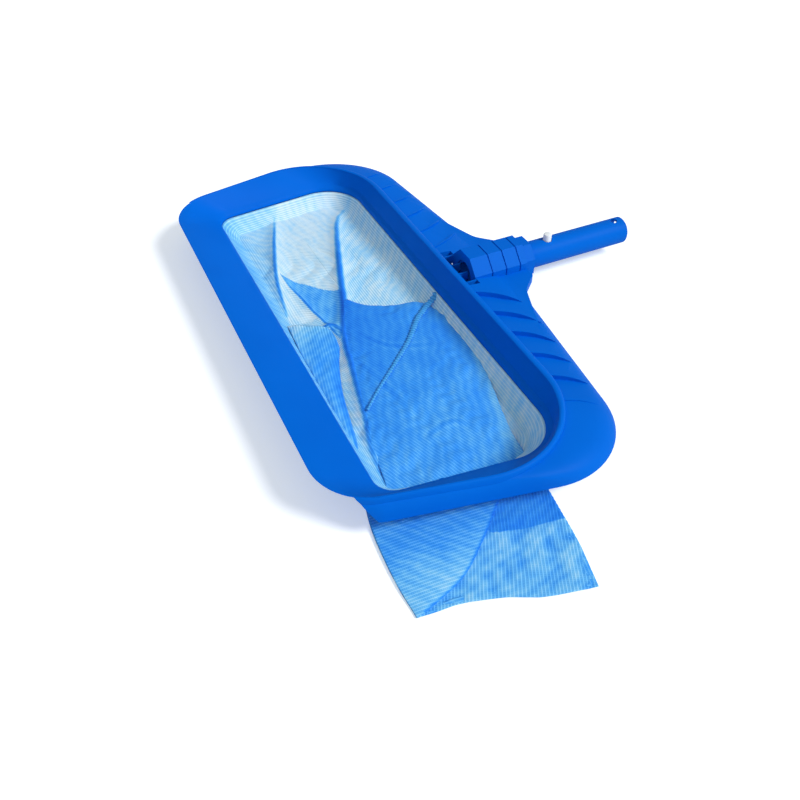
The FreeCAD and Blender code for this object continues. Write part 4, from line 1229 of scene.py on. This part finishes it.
@dataclass(frozen=True)
class NetEnd(Patch):
    """Lower layer of the bag's flat end, out past the frame.

    Attributes:
        ripples: Waves all over it.
        lift: Height of its mean surface above its lines, and of the waves as a share.
        ripple_light_and_shade: Painted light and shade of the waves where it is single: their crests paler,
            their troughs darker.
        doubled: Corners of the part that lies double.
        doubled_pale: Paleness there.
        doubled_bunch: Bunching there.
        hem: Y, and how far the slack end hem lies off its straight line there.
        hem_x: X where the hem's pull starts and where it is full.
    """

    name: str = "net_end"
    near: tuple[Spot, ...] = (
        (192, -268, -25.2), (237, -278, -25.4), (283, -281, -25.4), (317, -280, -25.6))
    far: tuple[Spot, ...] = (
        (192, -128, -25.2), (257, -134.5, -25.2), (279, -137.5, -25.2), (312, -142, -25.3),
        (350, -151, -25.5))
    crown: float = 0.6
    rows: int = 110
    columns: int = 150
    weave_turn: float = -25.5
    bunch: float = 0.84
    pale: float = 0.62
    ripples: tuple[Ripple, ...] = (Ripple(1.0, 27.0, 38.0, 0.9), Ripple(0.6, 15.0, 110.0, 2.2))
    lift: float = 0.25
    ripple_light_and_shade: float = 0.09
    doubled: tuple[Point, ...] = (
        (236, -285), (250, -255), (249, -230), (258, -210), (277, -196), (283, -174), (290, -130),
        (180, -120), (180, -290))
    doubled_pale: float = 0.38
    doubled_bunch: float = 0.9
    hem: tuple[Point, ...] = (
        (-280, 0), (-264, -2.5), (-248, -5), (-231, -5), (-215, -4), (-200, -0.8), (-190, 1), (-170, 1),
        (-151, 0))
    hem_x: Point = (265.0, 325.0)

    def cloth(self) -> Cloth:
        """Lay the end with its waves, tones and slack hem.

        Returns:
            The cloth.
        """
        cloth = super().cloth()
        spots, pale = cloth.spots, cloth.pale
        doubled = inside(self.doubled, spots)
        pale[doubled] = self.doubled_pale
        cloth.bunch[doubled] = self.doubled_bunch
        ripple = sum(ripple.over(spots) for ripple in self.ripples)
        # Painted light and shade: the single cloth is paler on the waves' crests and darker in their troughs.
        pale += self.ripple_light_and_shade * ripple * ~doubled
        spots[..., 2] += self.lift + self.lift * ripple
        hem = smooth_line(self.hem, LINE_SAMPLES)
        pull = np.interp(spots[..., 1], hem[:, 0], hem[:, 1])
        spots[..., 0] += pull * rise(spots[..., 0], *self.hem_x)
        return cloth


@dataclass(frozen=True)
class NetFlap(Patch):
    """Upper layer of the bag's end, folded over its near half.

    Attributes:
        end_tint: How it grows paler towards the end.
        frame_tint: How it grows darker towards the frame.
        fold_shade: How much less pale it is along its far edge, where it is folded.
        fold_shade_reach: How far in that goes.
        fold_bunch: How much more bunched it is there.
        fold_bunch_reach: How far in that goes.
    """

    name: str = "net_flap"
    near: tuple[Spot, ...] = (
        (192, -267, -23.6), (237, -277.6, -23.8), (283, -281, -24.2), (316.5, -279.5, -25.0))
    far: tuple[Spot, ...] = (
        (192, -150, -23.0), (236, -160, -23.0), (258, -182, -23.2), (281, -207, -23.6), (303, -236, -24.0),
        (316, -272, -24.9))
    crown: float = 0.9
    rows: int = 90
    columns: int = 150
    weave_turn: float = 86.0
    bunch: float = 0.9
    pale: float = 0.5
    end_tint: Tint = Tint(0.22, 262.0, 302.0)
    frame_tint: Tint = Tint(-0.1, 240.0, 200.0)
    fold_shade: float = 0.34
    fold_shade_reach: float = 1.6
    fold_bunch: float = 0.2
    fold_bunch_reach: float = 2.0

    def cloth(self) -> Cloth:
        """Lay the flap with its tones.

        Returns:
            The cloth.
        """
        cloth = super().cloth()
        fold_gap = distance_to(smooth_line(self.far, LINE_SAMPLES), cloth.spots)[0]
        tints = self.end_tint.over(cloth.spots) + self.frame_tint.over(cloth.spots)
        cloth.pale += tints
        cloth.pale -= self.fold_shade * bell(fold_gap, self.fold_shade_reach)
        cloth.bunch += self.fold_bunch * bell(fold_gap, self.fold_bunch_reach)
        return cloth


@dataclass(frozen=True)
class SewnStrip:
    """Narrow band of folded or overlocked net along a line.

    Attributes:
        name: Name of the piece.
        line: X, Y, Z points down its middle.
        start_width: Width at its start.
        end_width: Width at its end.
        crown: How far its middle stands up.
        wave: How far the loops push its sides in and out, as a share of its width.
        loop: Distance over which a loop goes out and comes back.
        columns: Number of points along it.
        rows: Number of points across it.
        bunch: Its bunching.
        pale: Its paleness.
        thick: Thickness of its shell.
    """

    name: str
    line: tuple[Spot, ...]
    start_width: float
    end_width: float
    crown: float
    wave: float
    loop: float = 2.1
    columns: int = 180
    rows: int = 9
    bunch: float = 0.95
    pale: float = 0.55
    thick: float = 0.4

    def cloth(self) -> Cloth:
        """Lay the strip.

        Returns:
            The cloth, with its map running along the strip.
        """
        middle = smooth_line(self.line, self.columns)
        steps = np.gradient(middle[:, :2], axis=0)
        side = np.stack([-steps[:, 1], steps[:, 0]], -1) / np.linalg.norm(steps, axis=1)[:, None]
        reach = reach_along(middle[:, :2])
        half = np.linspace(self.start_width, self.end_width, self.columns) / 2
        half = half * (1 + self.wave * np.sin(reach / self.loop * math.pi))
        share = np.linspace(-1, 1, self.rows)[:, None]
        spots = np.repeat(middle[None], self.rows, axis=0)
        spots[..., :2] += share[..., None] * (half[:, None] * side)[None]
        spots[..., 2] += self.crown * (1 - share ** 2)
        weave = np.stack([np.repeat(reach[None], self.rows, axis=0), share * half[None]], -1)
        level = np.ones(spots.shape[:2])
        return Cloth(self.name, spots, weave, level * self.bunch, level * self.pale, thick=self.thick)


@dataclass(frozen=True)
class NetBag:
    """The bag's layers of net, and the bands sewn on them.

    Attributes:
        layers: Layers of net, from the lowest up and then out to the end.
        end_hem: Folded hem across the bag's end.
        edge_seam: Folded seam down the back edge of the bag's end.
        inner_seam: Overlocked seam over the heap.
    """

    layers: tuple[NetTray | Patch, ...] = (NetTray(), NetHeap(), NetLobe(), NetEnd(), NetFlap())
    end_hem: SewnStrip = SewnStrip(
        "net_end_hem", ((314.5, -279.5, -25.5), (316, -265, -25.4), (317, -248, -25.1), (320, -231, -25.2),
                        (325, -215, -25.2), (333, -200, -25.4), (337, -190, -25.4), (342, -170, -25.2),
                        (346, -152, -25.5)), 5.0, 6.0, 0.1, 0.05)
    edge_seam: SewnStrip = SewnStrip(
        "net_edge_seam", ((346, -153.5, -25.3), (311, -145.2, -25.2), (279, -140.5, -25.1),
                          (257, -137.5, -25.0)), 6.5, 7.0, 0.1, 0.05)
    inner_seam: SewnStrip = SewnStrip(
        "net_seam", ((3, -103, -12.4), (6, -109, -16.2), (11, -118, -17.6), (20, -128, -16.9),
                     (27, -136, -16.6), (53, -158, -16.6), (72, -178, -16.6), (85, -192, -16.6),
                     (104, -213, -16.8), (122, -231, -17.4)), 6.2, 2.4, 0.7, 0.3)

    def build(self) -> list[bpy.types.Object]:
        """Make the layers and the bands.

        Returns:
            The new pieces.
        """
        net = KnittedMesh("warp knitted nylon net, sky blue").build()
        thread = SewnBand("overlocked nylon seam, blue", "1680d2", "46a8ec").build()
        pieces = [layer.cloth().build(net, "net_mesh", "net_bag") for layer in self.layers]
        pieces.append(self.end_hem.cloth().build(net, "net_mesh", "bag_end_hem"))
        pieces.append(self.edge_seam.cloth().build(net, "net_mesh", "bag_edge_seam"))
        pieces.append(self.inner_seam.cloth().build(thread, "seam_thread", "bag_seam"))
        return pieces


@dataclass(frozen=True)
class Sun:
    """Distant lamp.

    Attributes:
        name: Its name.
        towards: Direction from the object to the lamp.
        spread: Its width in radians, which softens its shadows.
        strength: Its strength.
    """

    name: str
    towards: Spot
    spread: float
    strength: float

    def place(self) -> None:
        """Add the lamp to the scene."""
        data = bpy.data.lights.new(self.name, "SUN")
        data.angle = self.spread
        data.energy = self.strength
        lamp = bpy.data.objects.new(self.name, data)
        bpy.context.scene.collection.objects.link(lamp)
        lamp.rotation_mode = "QUATERNION"
        lamp.rotation_quaternion = (-Vector(self.towards)).to_track_quat("-Z", "Y")


@dataclass(frozen=True)
class Studio:
    """Pale floor, soft lamps and the camera where the photograph was taken from.

    Attributes:
        camera_at: Place of the camera.
        azimuth: Direction in which it looks, from +Y towards -X.
        tilt: How far it looks down.
        lens: Its focal length.
        sensor: Width of its sensor.
        clip_m: Nearest distance that it sees, in metres.
        net_layers: See-through surfaces that a ray may pass.
        floor_z: Z of the floor.
        floor_y: Y of the floor's middle.
        floor_size_m: Its width, in metres.
        floor_colour: Its colour.
        floor_roughness: Its roughness.
        glow: How much of its own light the floor shows the camera, so that it looks white.
        glow_colour: Colour of that light.
        sky: Strength of the light from all round.
        sky_colour: Colour of that light and of the background.
        suns: A key light from behind the object's right, and a weak one from its front right.
    """

    camera_at: Spot = (583.7, -419.4, 470.5)
    azimuth: float = 64.573
    tilt: float = 43.687
    lens: float = 36.43
    sensor: float = 36.0
    clip_m: float = 0.01
    net_layers: int = 24
    floor_z: float = -26.4
    floor_y: float = -150.0
    floor_size_m: float = 12.0
    floor_colour: str = "f3f3f3"
    floor_roughness: float = 0.9
    glow: float = 0.42
    glow_colour: str = "e5f3ff"
    sky: float = 0.37
    sky_colour: str = "ffffff"
    suns: tuple[Sun, ...] = (Sun("key", (0.51, 0.53, 0.68), 0.33, 2.6),
                             Sun("front", (0.51, -0.58, 0.63), 0.6, 0.34))

    def camera(self) -> None:
        """Place the camera and make it the scene's."""
        data = bpy.data.cameras.new("camera")
        data.lens = self.lens
        data.sensor_width = self.sensor
        data.clip_start = self.clip_m
        camera = bpy.data.objects.new("camera", data)
        bpy.context.scene.collection.objects.link(camera)
        turn, drop = math.radians(self.azimuth), math.radians(self.tilt)
        ahead = Vector((-math.sin(turn) * math.cos(drop), math.cos(turn) * math.cos(drop), -math.sin(drop)))
        camera.location = Vector(self.camera_at) * MM
        camera.rotation_mode = "QUATERNION"
        camera.rotation_quaternion = ahead.to_track_quat("-Z", "Y")
        bpy.context.scene.camera = camera

    def view(self) -> None:
        """Show colours as they are written, and let light through every layer of net."""
        bpy.context.scene.view_settings.view_transform = "Standard"
        bpy.context.scene.cycles.transparent_max_bounces = self.net_layers

    def floor(self) -> None:
        """Lay a floor that the camera sees as plain white apart from the object's soft shadow."""
        bpy.ops.mesh.primitive_plane_add(size=self.floor_size_m,
                                         location=(0, self.floor_y * MM, self.floor_z * MM))
        ground = bpy.context.object
        ground.name = "floor"
        material, tree, shader = blank_material("white studio floor")
        shader.inputs[Socket.COLOUR.value].default_value = linear(self.floor_colour)
        shader.inputs[Socket.ROUGHNESS.value].default_value = self.floor_roughness
        shader.inputs[Socket.GLOW_COLOUR.value].default_value = linear(self.glow_colour)
        ray = node(tree, "ShaderNodeLightPath").outputs["Is Camera Ray"]
        glow = node(tree, "ShaderNodeMath", {"operation": "MULTIPLY"}, i0=ray, i1=self.glow)
        tree.links.new(glow.outputs[0], shader.inputs[Socket.GLOW.value])
        ground.data.materials.append(material)

    def lamps(self) -> None:
        """Light the object from the suns and the sky, which the camera sees as white."""
        world = bpy.context.scene.world or bpy.data.worlds.new("studio")
        bpy.context.scene.world = world
        world.use_nodes = True
        tree = world.node_tree
        sky = tree.nodes["Background"]
        ray = node(tree, "ShaderNodeLightPath").outputs["Is Camera Ray"]
        seen = node(tree, "ShaderNodeMapRange", Value=ray, To_Min=self.sky, To_Max=1.0)
        tree.links.new(seen.outputs["Result"], sky.inputs["Strength"])
        sky.inputs["Color"].default_value = linear(self.sky_colour)
        for sun in self.suns:
            sun.place()


def main() -> None:
    """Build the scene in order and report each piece."""
    logging.basicConfig(level=logging.INFO)
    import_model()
    for assembly in (Mouldings(), NetBag()):
        for piece in assembly.build():
            LOG.info("%s: %d faces", piece.name, len(piece.data.polygons))
    studio = Studio()
    studio.camera()
    studio.view()
    studio.floor()
    studio.lamps()


if __name__ == "__main__":
    main()
